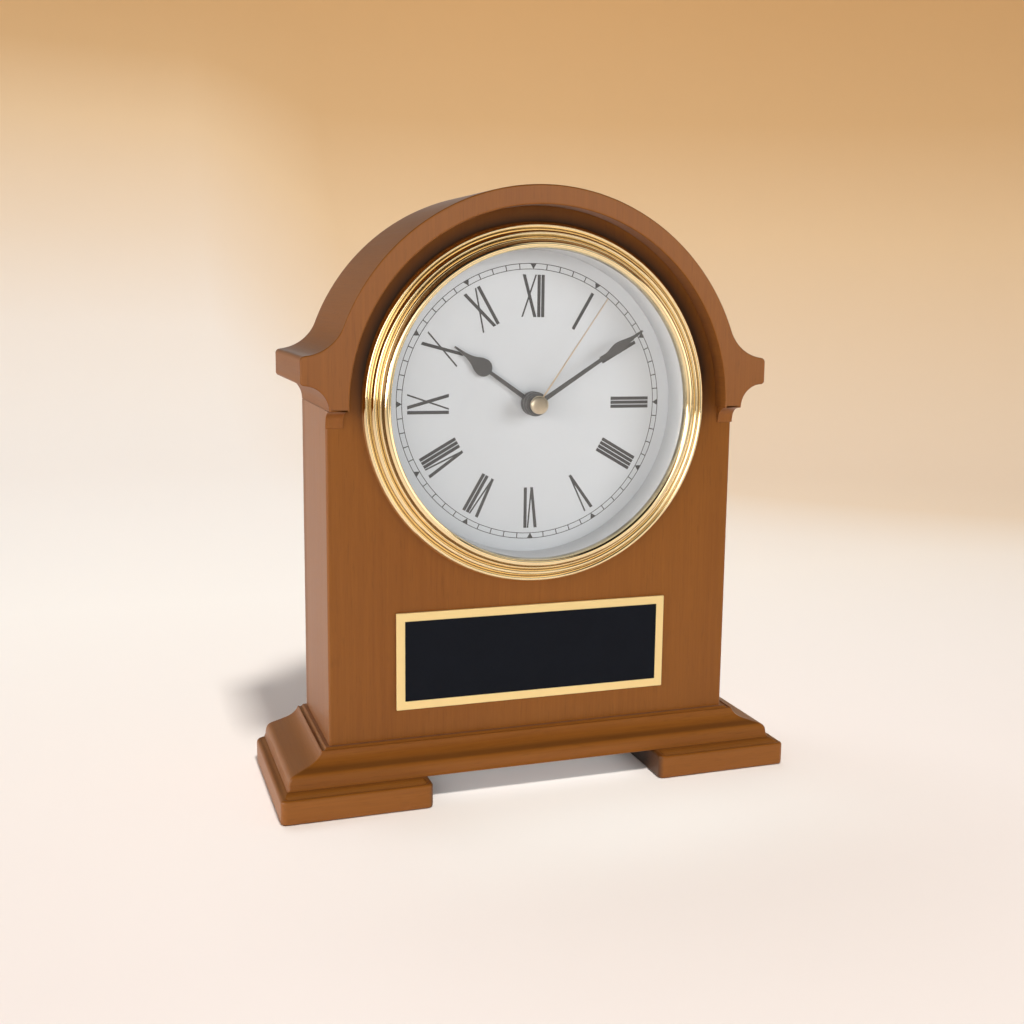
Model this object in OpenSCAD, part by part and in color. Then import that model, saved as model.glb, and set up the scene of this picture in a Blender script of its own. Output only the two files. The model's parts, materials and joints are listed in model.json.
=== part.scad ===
// Wooden mantel clock: hooded arch case on a moulded two-foot base,
// round brass bezel insert, quartz movement with a wheel train, name plate.
// Working frame of the modules: x to the right, z up, y = 0 on the face of
// the front panel and growing towards the back. place() moves that frame so
// that the origin is at the centre of the footprint, on the table.

/* [Case] */
// Width of the case body
body_w = 152; // [152:0.5:154]
// Depth of the case body from panel face to back
body_d = 50; // [50:0.5:54]
// Height of the underside of the body above the table
body_z = 20.3; // [20.3:0.1:21]
// Height of the dial centre above the table
dial_z = 138.3; // [138.3:0.5:142]
// Thickness of the front panel
panel_t = 12; // [12:0.5:12]
// Thickness of the side boards
side_t = 12; // [12:0.5:14]
// Thickness of the back panel
back_t = 6; // [5:0.5:8]
// Radius of the access hole in the back panel
access_r = 56; // [52:1:57]

/* [Hood] */
// Outer radius of the arch
hood_r = 76; // [76:0.5:77]
// Inner radius of the arch
hood_ri = 69.3; // [69:0.1:69.6]
// How far the hood stands in front of the panel
hood_proud = 8; // [6:0.5:9]
// Half width across the ears
ear_x = 85.3; // [85:0.1:86]

/* [Base] */
// How far the crest of the moulding stands out from the case
crest_o = 3.3; // [3.2:0.1:3.6]
// Half width of the moulding's flat band
band_x = 91.5; // [91:0.1:92]
// How far the band stands in front of the panel
band_y = 9.9; // [9.5:0.1:10.5]
// Half width over the feet
foot_x = 95.1; // [95:0.1:96]
// How far the feet stand in front of the panel
foot_y = 17.5; // [17:0.1:18]
// Half the clear width between the feet
gap_x = 43; // [40:1:46]
// Height of the top of the feet
foot_z = 9; // [9:0.1:9]
// Thickness of the felt pads
pad_t = 0.8; // [0.6:0.1:1]

/* [Insert] */
// Outer radius of the bezel
bezel_r = 64; // [63.5:0.1:64.5]
// Radius of the bezel's opening
open_r = 54.8; // [54.6:0.1:55]
// Depth of the dial face behind the panel face
dial_y = 10; // [10:0.5:10]
// Outer radius of the insert's cup
cup_r = 58; // [57.8:0.1:58.2]

/* [Hands] */
// Length of the hour hand
hour_len = 35.4; // [30:0.2:38]
// Length of the minute hand
minute_len = 49.4; // [44:0.2:51]
// Length of the second hand
second_len = 46.4; // [40:0.2:50]
// Shown hour hand angle, degrees clockwise from twelve
hour_deg = 304.7; // [0:0.1:360]
// Shown minute hand angle
minute_deg = 56.6; // [0:0.1:360]
// Shown second hand angle
second_deg = 34.4; // [0:0.1:360]

/* [Name plate] */
// Width of the plate's bright border
plate_w = 102.4; // [98:0.2:104]
// Height of the plate's bright border
plate_h = 35.2; // [33:0.2:37]
// Height of the plate's lower edge above the table
plate_z = 30.9; // [29:0.1:33]
// Width of the bright border that shows round the black plate
plate_rim = 3.1; // [2:0.1:4]

/* [Hidden] */

hw = body_w / 2;
spring_z = dial_z - 0.9;             // underside of the hood ends
y_mid = (body_d - foot_y) / 2;       // middle of the whole depth
wood = [0.55, 0.32, 0.15];
wood_dk = [0.48, 0.27, 0.12];
brass = [0.86, 0.66, 0.30];
black = [0.06, 0.06, 0.07];
steel = [0.70, 0.71, 0.73];
white = [0.86, 0.86, 0.85];

module place() { translate([0, -y_mid, 0]) children(); }
// Extrudes a front-view outline (x, z) from y1 (nearer the viewer) to y2.
module fy(y1, y2) { translate([0, y2, 0]) rotate([90, 0, 0]) linear_extrude(y2 - y1) children(); }
// Puts a front-view outline's origin, or a solid, on the dial's axis.
module on_dial() { translate([0, 0, dial_z]) children(); }
// Turns a profile (radius, height towards the viewer) about the dial's axis.
module turned() { on_dial() rotate([90, 0, 0]) rotate_extrude($fn = 180) children(); }
// Round bar along y at (x, z) relative to the dial's axis.
module pin_y(x, z, r, y1, y2) { translate([x, y2, dial_z + z]) rotate([90, 0, 0]) cylinder(r = r, h = y2 - y1, $fn = 48); }
module bar_y(x, z, r, y1, y2) { translate([x, y2, z]) rotate([90, 0, 0]) cylinder(r = r, h = y2 - y1, $fn = 48); }
module bar_z(x, y, r, z1, z2) { translate([x, y, z1]) cylinder(r = r, h = z2 - z1, $fn = 48); }
module box3(x1, x2, y1, y2, z1, z2) { translate([x1, y1, z1]) cube([x2 - x1, y2 - y1, z2 - z1]); }
// Rectangle with round corners, centred.
module rrect(w, h, r) {
    square([w - 2 * r, h], center = true);
    square([w, h - 2 * r], center = true);
    for (sx = [-1, 1], sy = [-1, 1]) translate([sx * (w / 2 - r), sy * (h / 2 - r)]) circle(r, $fn = 32);
}
function arc(cx, cy, r, a1, a2, n) = [for (i = [0:n]) let (a = a1 + (a2 - a1) * i / n) [cx + r * cos(a), cy + r * sin(a)]];

// ---------------------------------------------------------------- wood case

// Half profile of the moulded base edge as [offset, height] from the case
// face: crest, hollow slope, round lip, band and its slight lower flare.
// Each entry of EDGE is [share of the way from crest to band, drop].
EDGE = [[0, 0.65], [0.025, 1.1], [0.053, 1.8], [0.123, 2.8], [0.213, 3.6], [0.32, 4.25], [0.451, 4.8], [0.59, 5.3],
    [0.73, 5.8], [0.82, 6.12], [0.885, 6.5], [0.934, 7.0], [0.971, 7.7], [0.988, 8.5], [1, 9.3]];
function edge_pts(c, b) = concat(
    [for (e = EDGE) [c + (b - c) * e[0], body_z - e[1]]],
    [[b + 0.1, body_z - 10.1], [b + 0.3, body_z - 10.7], [b + 0.7, foot_z]]);

module edge_front() {
    p = edge_pts(crest_o, band_y);
    polygon(concat([[body_d, foot_z], [body_d, body_z]], [[0, body_z]], [for (q = p) [-q[0], q[1]]]));
}
module edge_side() {
    p = edge_pts(crest_o, band_x - hw); n = len(p);
    polygon(concat([for (q = p) [hw + q[0], q[1]]], [for (i = [1:n]) [-hw - p[n - i][0], p[n - i][1]]],
        [[-hw, body_z], [hw, body_z]]));
}
// Round groove between the case and the crest of the moulding.
module quirk_groove() {
    ox = hw + 2.05; oy = -2.05; r = 1.25; zc = body_z + 0.15;
    for (s = [-1, 1]) {
        translate([s * ox, oy, zc]) rotate([-90, 0, 0]) cylinder(r = r, h = body_d + 20, $fn = 32);
        translate([s * ox, oy, zc]) sphere(r = r, $fn = 32);
    }
    translate([-ox, oy, zc]) rotate([0, 90, 0]) cylinder(r = r, h = 2 * ox, $fn = 32);
}
base_sx = [-70, 70]; base_sy = [20, 38];       // case screws through the base
foot_sx = [56, 84]; foot_sy = [4, 40];         // foot screws into the base

module base_moulding() {
    color(wood) place() difference() {
        intersection() {
            translate([-100, 0, 0]) rotate([90, 0, 90]) linear_extrude(200) edge_front();
            translate([0, body_d, 0]) rotate([90, 0, 0]) linear_extrude(body_d + 30) edge_side();
        }
        quirk_groove();
        for (x = base_sx, y = base_sy) {
            bar_z(x, y, 1.65, foot_z - 1, body_z + 1);
            translate([x, y, foot_z - 0.01]) cylinder(r1 = 3.4, r2 = 1.65, h = 1.8, $fn = 48);
        }
        for (s = [-1, 1], x = foot_sx, y = foot_sy) bar_z(s * x, y, 1.4, foot_z - 1, foot_z + 6.2);
    }
}
module wood_screw(len, r = 1.6, rh = 3.3) {
    cylinder(r1 = rh, r2 = r, h = 1.7, $fn = 48);
    translate([0, 0, 1.6]) cylinder(r = r, h = len - 3.6, $fn = 48);
    translate([0, 0, len - 2.0]) cylinder(r1 = r, r2 = 0.2, h = 2.0, $fn = 48);
}
module base_screws() {
    color(steel) place() for (x = base_sx, y = base_sy) translate([x, y, foot_z + 0.04]) wood_screw(22, 1.6);
}

// Foot: a slab whose top carries on the base's lower cove, all edges eased.
module foot(s) {
    wid = foot_x - gap_x; cx = (foot_x + gap_x) / 2; dep = body_d + foot_y; cy = (body_d - foot_y) / 2;
    zt = foot_z; zb = pad_t;
    difference() {
        intersection() {
            translate([cx, cy, zb - 5]) linear_extrude(zt + 5) rrect(wid, dep, 2.2);
            translate([0, cy + dep / 2 + 5, 0]) rotate([90, 0, 0]) linear_extrude(dep + 10)
                polygon(concat(arc(gap_x + 1.3, zb + 1.3, 1.3, 270, 180, 5), arc(gap_x + 1.3, zt - 1.3, 1.3, 180, 90, 5),
                    [[band_x + 0.7, zt], [band_x + 1.4, zt - 0.35], [foot_x - 1.2, zt - 0.55]],
                    arc(foot_x - 1.3, zt - 1.85, 1.3, 85, 0, 5), arc(foot_x - 1.3, zb + 1.3, 1.3, 0, -90, 5)));
            translate([gap_x - 5, 0, 0]) rotate([90, 0, 90]) linear_extrude(wid + 10)
                polygon(concat([[body_d, zb], [body_d, zt], [-(band_y + 0.7), zt]],
                    [[-(band_y + 1.7), zt - 0.25], [-(band_y + 3.1), zt - 0.5], [-(band_y + 4.6), zt - 0.6], [-(foot_y - 1.9), zt - 0.62], [-(foot_y - 1.55), zt - 0.95], [-(foot_y - 1.2), zt - 0.6]],
                    arc(-(foot_y - 0.8), zt - 1.4, 0.8, 90, 180, 4),
                    arc(-(foot_y - 1.3), zb + 1.3, 1.3, 180, 270, 4)));
        }
        for (x = foot_sx, y = foot_sy) {
            bar_z(x, y, 1.45, 0, zt + 1);
            bar_z(x, y, 3.1, -1, zb + 2.2);
        }
    }
}
module foot_right() { color(wood) place() foot(1); }
module foot_left() { color(wood) place() mirror([1, 0, 0]) foot(-1); }
module foot_screws() {
    color(steel) place() for (s = [-1, 1], x = foot_sx, y = foot_sy) translate([s * x, y, pad_t + 0.5]) {
        cylinder(r = 2.9, h = 1.7, $fn = 48);
        translate([0, 0, 1.6]) cylinder(r = 1.38, h = foot_z + 6.2 - pad_t - 2.3, $fn = 48);
    }
}
module foot_pads() {
    color([0.1, 0.1, 0.1]) place() for (s = [-1, 1], y = [-7, 30]) translate([s * 69, y + 1, 0]) cylinder(r = 7, h = pad_t, $fn = 64);
}

// Front-view outline of the panels: straight sides, round head in the hood.
module panel_outline() {
    translate([-hw, body_z]) square([body_w, spring_z - body_z]);
    translate([0, dial_z]) intersection() {
        circle(r = hood_ri - 0.05, $fn = 180);
        translate([-hw, -1]) square([body_w, hood_r + 2]);
    }
}
module front_panel() {
    color(wood) place() difference() {
        fy(0, panel_t) difference() {
            panel_outline();
            translate([0, dial_z]) circle(r = cup_r + 0.3, $fn = 180);
        }
        // eased vertical corners
        for (s = [-1, 1]) translate([s * hw, 0, 0]) difference() {
            translate([-0.8, -0.8, 0]) cube([1.6, 1.6, 300]);
            translate([-s * 0.8, 0.8, -1]) cylinder(r = 0.8, h = 302, $fn = 32);
        }
    }
}
module side_board(s) {
    difference() {
        translate([s > 0 ? hw - side_t : -hw, panel_t, body_z]) cube([side_t, body_d - back_t - panel_t, spring_z - body_z]);
        for (y = base_sy) bar_z(s * 70, y, 1.65, body_z - 1, body_z + 11.5);
        for (y = [20, 38]) bar_z(s * 72.6, y, 2, spring_z - 10, spring_z + 1);
        for (z = back_sz) bar_y(s * 70, z, 1.45, body_d - back_t - 13, body_d + 1);
    }
}
back_sz = [34, 76, 118];
module side_left() { color(wood_dk) place() side_board(-1); }
module side_right() { color(wood_dk) place() side_board(1); }
module back_panel() {
    color(wood_dk) place() difference() {
        fy(body_d - back_t, body_d) difference() {
            panel_outline();
            translate([0, dial_z]) circle(r = access_r, $fn = 180);
        }
        for (s = [-1, 1], z = back_sz) {
            bar_y(s * 70, z, 1.65, body_d - back_t - 1, body_d + 1);
            translate([s * 70, body_d + 0.01, z]) rotate([90, 0, 0]) cylinder(r1 = 3.2, r2 = 1.65, h = 1.7, $fn = 48);
        }
    }
}
module back_screws() {
    color(brass) place() for (s = [-1, 1], z = back_sz) translate([s * 70, body_d - 0.04, z]) rotate([90, 0, 0]) {
        cylinder(r1 = 3.1, r2 = 1.42, h = 1.6, $fn = 48);
        translate([0, 0, 1.5]) cylinder(r = 1.42, h = 14, $fn = 48);
    }
}

// Hood outline about the dial's centre: arch with an ear at each springing.
upf_r = 15.4; upf_z = 32.8;          // fillet above the ear, tangent to the arch
lof_r = 8.4; lof_x = 84.4;           // cove below the ear
module ear2d() {
    intersection() {
        difference() {
            translate([60, -0.9]) square([ear_x - 60, 28.2]);
            translate([ear_x, upf_z]) circle(r = upf_r, $fn = 120);
            translate([lof_x, -0.7]) circle(r = lof_r, $fn = 96);
            translate([lof_x, -2]) square([4, 1.3 + lof_r]);
        }
        union() {
            translate([50, -1]) square([ear_x - 50 - 1.3, 30]);
            translate([50, lof_r - 0.7 + 1.3]) square([ear_x - 50, upf_z - upf_r - lof_r + 0.7 - 2.6]);
            translate([ear_x - 1.3, lof_r - 0.7 + 1.3]) circle(r = 1.3, $fn = 32);
            translate([ear_x - 1.3, upf_z - upf_r - 1.3]) circle(r = 1.3, $fn = 32);
        }
    }
}
module hood_outline() {
    difference() {
        union() {
            intersection() {
                circle(r = hood_r, $fn = 240);
                translate([-80, -0.9]) square([160, 90]);
            }
            ear2d();
            mirror([1, 0]) ear2d();
        }
        circle(r = hood_ri, $fn = 240);
    }
}
module arch_hood() {
    color(wood) place() difference() {
        on_dial() fy(-hood_proud, body_d) hood_outline();
        for (s = [-1, 1], y = [20, 38]) bar_z(s * 72.6, y, 2, spring_z - 1, spring_z + 10);
    }
}
module hood_dowels() {
    color([0.75, 0.6, 0.4]) place() for (s = [-1, 1], y = [20, 38]) bar_z(s * 72.6, y, 2, spring_z - 9.5, spring_z + 9.5);
}
// Small bracket under each overhanging end of the hood: a thin face that
// coves forward to meet the hood's front edge.
module corbel() {
    translate([70.2, 0, spring_z]) rotate([90, 0, 90]) linear_extrude(6)
        polygon([[0, -6.1], [-0.35, -6.1], [-0.5, -5.9], [-0.65, -5.0], [-0.85, -4.0], [-1.15, -3.0], [-1.6, -2.3],
            [-2.3, -1.6], [-3.4, -0.95], [-4.9, -0.45], [-6.3, -0.2], [-7.2, -0.1], [-7.3, 0], [0, 0]]);
}
module corbel_right() { color(wood) place() corbel(); }
module corbel_left() { color(wood) place() mirror([1, 0, 0]) corbel(); }
module glue_blocks() {
    color([0.72, 0.56, 0.36]) place() for (s = [-1, 1])
        translate([s * (hw - side_t), panel_t + 1, body_z]) mirror([s > 0 ? 1 : 0, 0, 0]) rotate([90, 0, 0]) mirror([0, 0, 1])
            linear_extrude(body_d - back_t - panel_t - 2) polygon([[0, 0], [14, 0], [0, 14]]);
}

// ---------------------------------------------------------------- insert

// One round bead of the bezel from radius a (outer) to b (inner); h is the
// height at its outer foot, g the height at its inner foot, k its bulge.
function bead(a, b, h, g, k) = [for (i = [0:6]) let (t = i / 6) [a + (b - a) * t, h + (g - h) * t + k * sin(180 * t)]];
module bezel() {
    color(brass) place() on_dial() rotate([90, 0, 0]) rotate_extrude($fn = 144) polygon(concat(
        [[cup_r - 1.55, -5], [cup_r - 1.55, 0], [bezel_r - 0.1, 0]],
        bead(bezel_r, bezel_r - 2.4, 0.3, 1.6, 0.95),
        bead(bezel_r - 2.45, bezel_r - 5.1, 1.6, 3.0, 1.1),
        bead(bezel_r - 5.15, bezel_r - 6.7, 3.0, 3.6, 0.85),
        arc(open_r + 1.25, 4.75, 1.25, -8, 180, 10),
        [[open_r, 4.15], [open_r + 0.85, 4.15], [open_r + 0.85, -5]]));
}
module lens() {
    color([0.8, 0.9, 0.95, 0.35]) place() turned() polygon([[0, 2.4], [open_r + 0.8, 2.4], [open_r + 0.8, 4.1], [0, 4.1]]);
}
module lens_gasket() {
    color(black) place() turned() polygon([[open_r - 0.1, 2.1], [open_r + 0.8, 2.1], [open_r + 0.8, 2.4], [open_r - 0.1, 2.4]]);
}
// Silvered wall between the dial and the glass.
module dial_ring() {
    color(white) place() turned() polygon([[open_r - 0.3, -dial_y], [open_r + 0.7, -dial_y], [open_r + 0.7, 2.1], [open_r + 0.1, 2.1]]);
}
module dial() {
    color(white) place() difference() {
        on_dial() fy(dial_y, dial_y + 0.5) circle(r = cup_r - 1.5, $fn = 180);
        pin_y(0, 0, 3.4, dial_y - 1, dial_y + 2);
    }
}
brk_a = [90, 210, 330];
module insert_cup() {
    color([0.72, 0.72, 0.72]) place() difference() {
        union() {
            turned() polygon([[0, -(dial_y + 0.5)], [cup_r - 1.4, -(dial_y + 0.5)], [cup_r - 1.4, 0], [cup_r, 0], [cup_r, -panel_t], [0, -panel_t]]);
            for (a = brk_a) pin_y(50 * cos(a), 50 * sin(a), 3.2, panel_t - 0.4, panel_t + 5);
        }
        pin_y(0, 0, 4.3, 5, 20);
        for (a = brk_a) pin_y(50 * cos(a), 50 * sin(a), 1.4, panel_t + 0.6, panel_t + 6);
        for (s = [-1, 1]) pin_y(s * 32.5, 0, 1.25, dial_y, panel_t + 1);
    }
}
module clamp_brackets() {
    color(steel) place() on_dial() for (a = brk_a) rotate([0, -a, 0]) difference() {
        union() {
            box3(46, 62.6, panel_t + 5.02, panel_t + 6.2, -4.5, 4.5);
            box3(61.4, 62.6, panel_t + 0.02, panel_t + 6.2, -4.5, 4.5);
        }
        translate([50, 0, 0]) rotate([-90, 0, 0]) cylinder(r = 1.6, h = 60, $fn = 48);
    }
}
module bracket_screws() {
    color(steel) place() for (a = brk_a) {
        pin_y(50 * cos(a), 50 * sin(a), 1.38, panel_t + 1.0, panel_t + 6.4);
        difference() {
            pin_y(50 * cos(a), 50 * sin(a), 2.8, panel_t + 6.22, panel_t + 8);
            translate([50 * cos(a), panel_t + 7.6, dial_z + 50 * sin(a)]) cube([4.6, 1.2, 0.7], center = true);
        }
    }
}

// ---------------------------------------------------------------- hands

// Outlines point up (+y of the outline); each is turned to its shown angle.
module hour2d() {
    difference() {
        union() {
            circle(r = 3.8, $fn = 64);
            polygon([[-0.8, 0], [-0.65, 21], [0.65, 21], [0.8, 0]]);
            translate([0, 22.6]) circle(r = 3.2, $fn = 64);
            polygon([[-3.15, 23.1], [-2.7, 24.9], [-1.6, 27.0], [-0.9, 29.2], [-0.5, 32], [-0.35, hour_len], [0.35, hour_len], [0.5, 32], [0.9, 29.2], [1.6, 27.0], [2.7, 24.9], [3.15, 23.1], [0, 20.5]]);
        }
        circle(r = 3.1, $fn = 64);
    }
}
module minute2d() {
    difference() {
        union() {
            circle(r = 3.5, $fn = 64);
            polygon([[-0.85, 0], [-0.7, 30], [-1.0, 32.4], [-1.75, 35.2], [-2.0, 36.8], [-1.85, 38.2], [-1.15, 41.5], [-0.6, 44.6], [-0.4, minute_len],
                [0.4, minute_len], [0.6, 44.6], [1.15, 41.5], [1.85, 38.2], [2.0, 36.8], [1.75, 35.2], [1.0, 32.4], [0.7, 30], [0.85, 0]]);
        }
        circle(r = 2.4, $fn = 64);
    }
}
module hour_hand() {
    color(black) place() on_dial() {
        rotate([0, hour_deg, 0]) fy(8.5, 9.0) hour2d();
        difference() {
            rotate([90, 0, 0]) rotate_extrude($fn = 96) polygon([[2.6, -9.2], [4.4, -9.2], [4.4, -8.0], [4.1, -7.9], [4.1, -7.5], [2.6, -7.5]]);
        }
    }
}
module minute_hand() {
    color(black) place() on_dial() {
        rotate([0, minute_deg, 0]) fy(3.5, 3.9) minute2d();
        rotate([90, 0, 0]) rotate_extrude($fn = 96) polygon([[1.7, -6.9], [4.4, -6.9], [4.4, -5.1], [4.1, -5.0], [4.1, -3.3], [1.7, -3.3]]);
    }
}
module second_hand() {
    color(brass) place() on_dial() difference() {
        union() {
            rotate([0, second_deg, 0]) fy(2.45, 2.7) polygon([[-0.32, 0], [-0.16, second_len], [0.16, second_len], [0.32, 0]]);
            rotate([90, 0, 0]) rotate_extrude($fn = 64) polygon([[0, -2.85], [1.3, -2.85], [1.3, -2.3], [0, -2.3]]);
        }
        translate([0, 2.9, 0]) rotate([90, 0, 0]) cylinder(r = 0.45, h = 1.0, $fn = 48);
    }
}
// Domed cap over the centre of the second hand.
module second_cap() {
    color(brass) place() turned() polygon(concat([[0, -2.29], [2.9, -2.29], [3.25, -1.9], [3.25, -0.6]],
        arc(2.75, -0.6, 0.5, 0, 90, 4), [[0, 0]]));
}

// ---------------------------------------------------------------- movement

// Toothed wheel outline: z teeth of module m, tooth thickness as a share of
// the pitch, one tooth centred on the angle ph.
function tooth(z, m, k, a, add, ded) = let (r = z * m / 2, ht = 180 * k / z, ra = r + add * m, rf = r - ded * m,
    ta = ht * (z > 20 ? 0.62 : 0.5) * r / ra, tf = ht * (z > 20 ? 1.38 : 1.1) * r / rf * 1.0)
    [[rf * cos(a - tf), rf * sin(a - tf)], [r * cos(a - ht), r * sin(a - ht)], [ra * cos(a - ta), ra * sin(a - ta)],
     [ra * cos(a + ta), ra * sin(a + ta)], [r * cos(a + ht), r * sin(a + ht)], [rf * cos(a + tf), rf * sin(a + tf)]];
function gear_outline(z, m, ph, k = 0.4, add = 0.75, ded = 1.15) = [for (i = [0:z - 1]) each tooth(z, m, k, ph + 360 * i / z, add, ded)];
module gear(z, m, ph, y1, y2) { fy(y1, y2) polygon(gear_outline(z, m, ph)); }
// Phase of a wheel at the far end of a centre line at angle th, in mesh with
// a wheel of za teeth whose own phase is pa.
function mesh_ph(th, za, pa, zb) = th + 180 + 180 / zb - (pa - th) * za / zb;

mw = 56;                  // movement case width and height
y0 = panel_t;             // front of the movement
y1c = y0 + 9;             // parting line of its case
y2c = y0 + 16;            // back of the movement
cell_z = -18.6; cell_y = y0 + 8.45; cell_r = 7.2;

m1 = 10 / 24; m2 = 0.4; m34 = 9 / 34; m4 = 0.25; m5 = 0.32;
red_a = 135; red = [10 * cos(red_a), 10 * sin(red_a)];
third_a = 45; third = [9 * cos(third_a), 9 * sin(third_a)];
int_d = 28 * m5; int_a = 196; inter = [int_d * cos(int_a), int_d * sin(int_a)];
rot_d = 24 * m5; rot_a = 180; rotp = [inter[0] + rot_d * cos(rot_a), inter[1] + rot_d * sin(rot_a)];
knob_d = 27 * m1; knob_a = 105; knobp = [red[0] + knob_d * cos(knob_a), red[1] + knob_d * sin(knob_a)];
// layers of the train, front to back
L1 = [y0 + 1.5, y0 + 2.7]; L2 = [y0 + 3.1, y0 + 4.1]; L3 = [y0 + 4.6, y0 + 5.4]; L5 = [y0 + 6.2, y0 + 7.0];
L6 = [y0 + 7.7, y0 + 8.5]; L7 = [y0 + 9.2, y0 + 10.0];
arbor = 0.35; hole = 0.42;
// phases: wheels on the centre line are free, the rest follow in mesh
ph_cannon = 0; ph_red = mesh_ph(red_a, 12, ph_cannon, 36); ph_knob = mesh_ph(knob_a, 36, ph_red, 18);
ph_redp = 0; ph_hour = mesh_ph(red_a + 180, 10, ph_redp, 40);
ph_sw = 0; ph_intp = mesh_ph(int_a, 48, ph_sw, 8);
ph_intw = 0; ph_rotp = mesh_ph(rot_a, 40, ph_intw, 8);
ph_secp = 0; ph_third = mesh_ph(third_a, 8, ph_secp, 60);
ph_thirdp = 0; ph_centre = mesh_ph(third_a + 180, 8, ph_thirdp, 64);

module at_z() { on_dial() children(); }

module hour_wheel() {
    color([0.9, 0.88, 0.8]) place() difference() {
        union() { on_dial() gear(40, m2, ph_hour, L1[0], L1[1]); pin_y(0, 0, 2.6, 7.5, L1[1]); }
        pin_y(0, 0, 1.78, 0, 30);
    }
}
module reduction_wheel() {
    color([0.9, 0.88, 0.8]) place() translate([red[0], 0, red[1]]) union() {
        on_dial() gear(36, m1, ph_red, L2[0], L2[1]);
        on_dial() gear(10, m2, ph_redp, L1[0] - 0.1, L2[0] + 0.2);
        pin_y(0, 0, 0.6, y0 + 0.55, y0 + 4.9);
    }
}
module minute_pipe() {
    color(brass) place() difference() {
        union() {
            on_dial() gear(12, m1, ph_cannon, L2[0] - 0.1, L2[1] + 0.1);
            pin_y(0, 0, 1.7, 3.3, L3[1] + 0.3);
        }
        pin_y(0, 0, 0.55, 0, 30);
    }
}
module friction_washer() {
    color(steel) place() difference() { pin_y(0, 0, 3.2, L2[1] + 0.15, L2[1] + 0.45); pin_y(0, 0, 1.7, 0, 30); }
}
module centre_wheel() {
    color(brass) place() difference() {
        on_dial() gear(64, m4, ph_centre, L3[0], L3[1]);
        pin_y(0, 0, 1.75, 0, 30);
    }
}
module third_wheel() {
    color([0.9, 0.88, 0.8]) place() translate([third[0], 0, third[1]]) union() {
        on_dial() gear(60, m34, ph_third, L5[0], L5[1]);
        on_dial() gear(8, m4, ph_thirdp, L3[0] - 0.1, L5[0] + 0.2);
        pin_y(0, 0, arbor, y0 + 0.65, y0 + 14.2);
    }
}
module second_wheel() {
    color([0.9, 0.88, 0.8]) place() union() {
        on_dial() gear(48, m5, ph_sw, L6[0], L6[1]);
        on_dial() gear(8, m34, ph_secp, L5[0] - 0.2, L6[0] + 0.2);
        pin_y(0, 0, 0.45, 2.3, y0 + 14.2);
    }
}
module intermediate_wheel() {
    color([0.9, 0.88, 0.8]) place() translate([inter[0], 0, inter[1]]) union() {
        on_dial() gear(40, m5, ph_intw, L7[0], L7[1]);
        on_dial() gear(8, m5, ph_intp, L6[0] - 0.1, L7[0] + 0.2);
        pin_y(0, 0, 0.3, y0 + 0.65, y0 + 14.2);
    }
}
module rotor() {
    color([0.35, 0.35, 0.38]) place() translate([rotp[0], 0, rotp[1]]) union() {
        on_dial() gear(8, m5, ph_rotp, L7[0] - 0.1, L7[1] + 0.5);
        pin_y(0, 0, 3.0, L7[1] + 0.5, L7[1] + 2.4);
        pin_y(0, 0, 0.3, y0 + 0.65, y0 + 14.2);
    }
}
module setting_knob() {
    color(black) place() difference() {
        translate([knobp[0], 0, knobp[1]]) union() {
            on_dial() gear(18, m1, ph_knob, L2[0], L2[1]);
            pin_y(0, 0, 1.0, y0 + 0.65, y2c + 0.6);
            pin_y(0, 0, 4.6, y2c + 0.4, y2c + 3.2);
        }
        for (i = [0:23]) translate([knobp[0] + 4.75 * cos(15 * i), y2c + 4, dial_z + knobp[1] + 4.75 * sin(15 * i)])
            rotate([90, 0, 0]) cylinder(r = 0.35, h = 3.2, $fn = 16);
    }
}
module stator() {
    color([0.55, 0.55, 0.58]) place() difference() {
        on_dial() fy(L7[1] + 1.0, L7[1] + 1.8) {
            translate([rotp[0] - 5.2, rotp[1] - 5.2]) square([10.4, 10.2]);
            translate([-21.5, 2.3]) square([41.5, 2.4]);
            translate([-21.5, 2.3]) square([2.4, 21.7]);
            translate([17.6, 2.3]) square([2.4, 21.7]);
            translate([-21.5, 21.2]) square([41.5, 2.8]);
        }
        pin_y(rotp[0], rotp[1], 3.4, 0, 40);
    }
}
coil_y = L7[1] + 1.4;
module coil_bobbin() {
    color([0.2, 0.45, 0.3]) place() translate([0, coil_y, dial_z + 22.6]) difference() {
        union() {
            box3(-4.5, 15.5, -0.9, 0.9, -1.9, 1.9);
            for (x = [-4.5, 14.7]) box3(x, x + 0.8, -3.2, 3.2, -3.2, 3.2);
        }
        box3(-6, 17, -0.42, 0.42, -1.42, 1.42);
    }
}
module coil_winding() {
    color([0.72, 0.36, 0.18]) place() translate([0, coil_y, dial_z + 22.6]) difference() {
        box3(-3.68, 14.68, -2.9, 2.9, -2.9, 2.9);
        box3(-6, 17, -0.92, 0.92, -1.92, 1.92);
    }
}
module circuit_board() {
    color([0.1, 0.35, 0.2]) place() on_dial() box3(9.4, 25.4, y0 + 13.2, y0 + 14.0, 6.4, 18.6);
}
module quartz_crystal() {
    color(steel) place() translate([11, y0 + 12.1, dial_z + 13]) rotate([0, 90, 0]) cylinder(r = 1.05, h = 6, $fn = 48);
}

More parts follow.
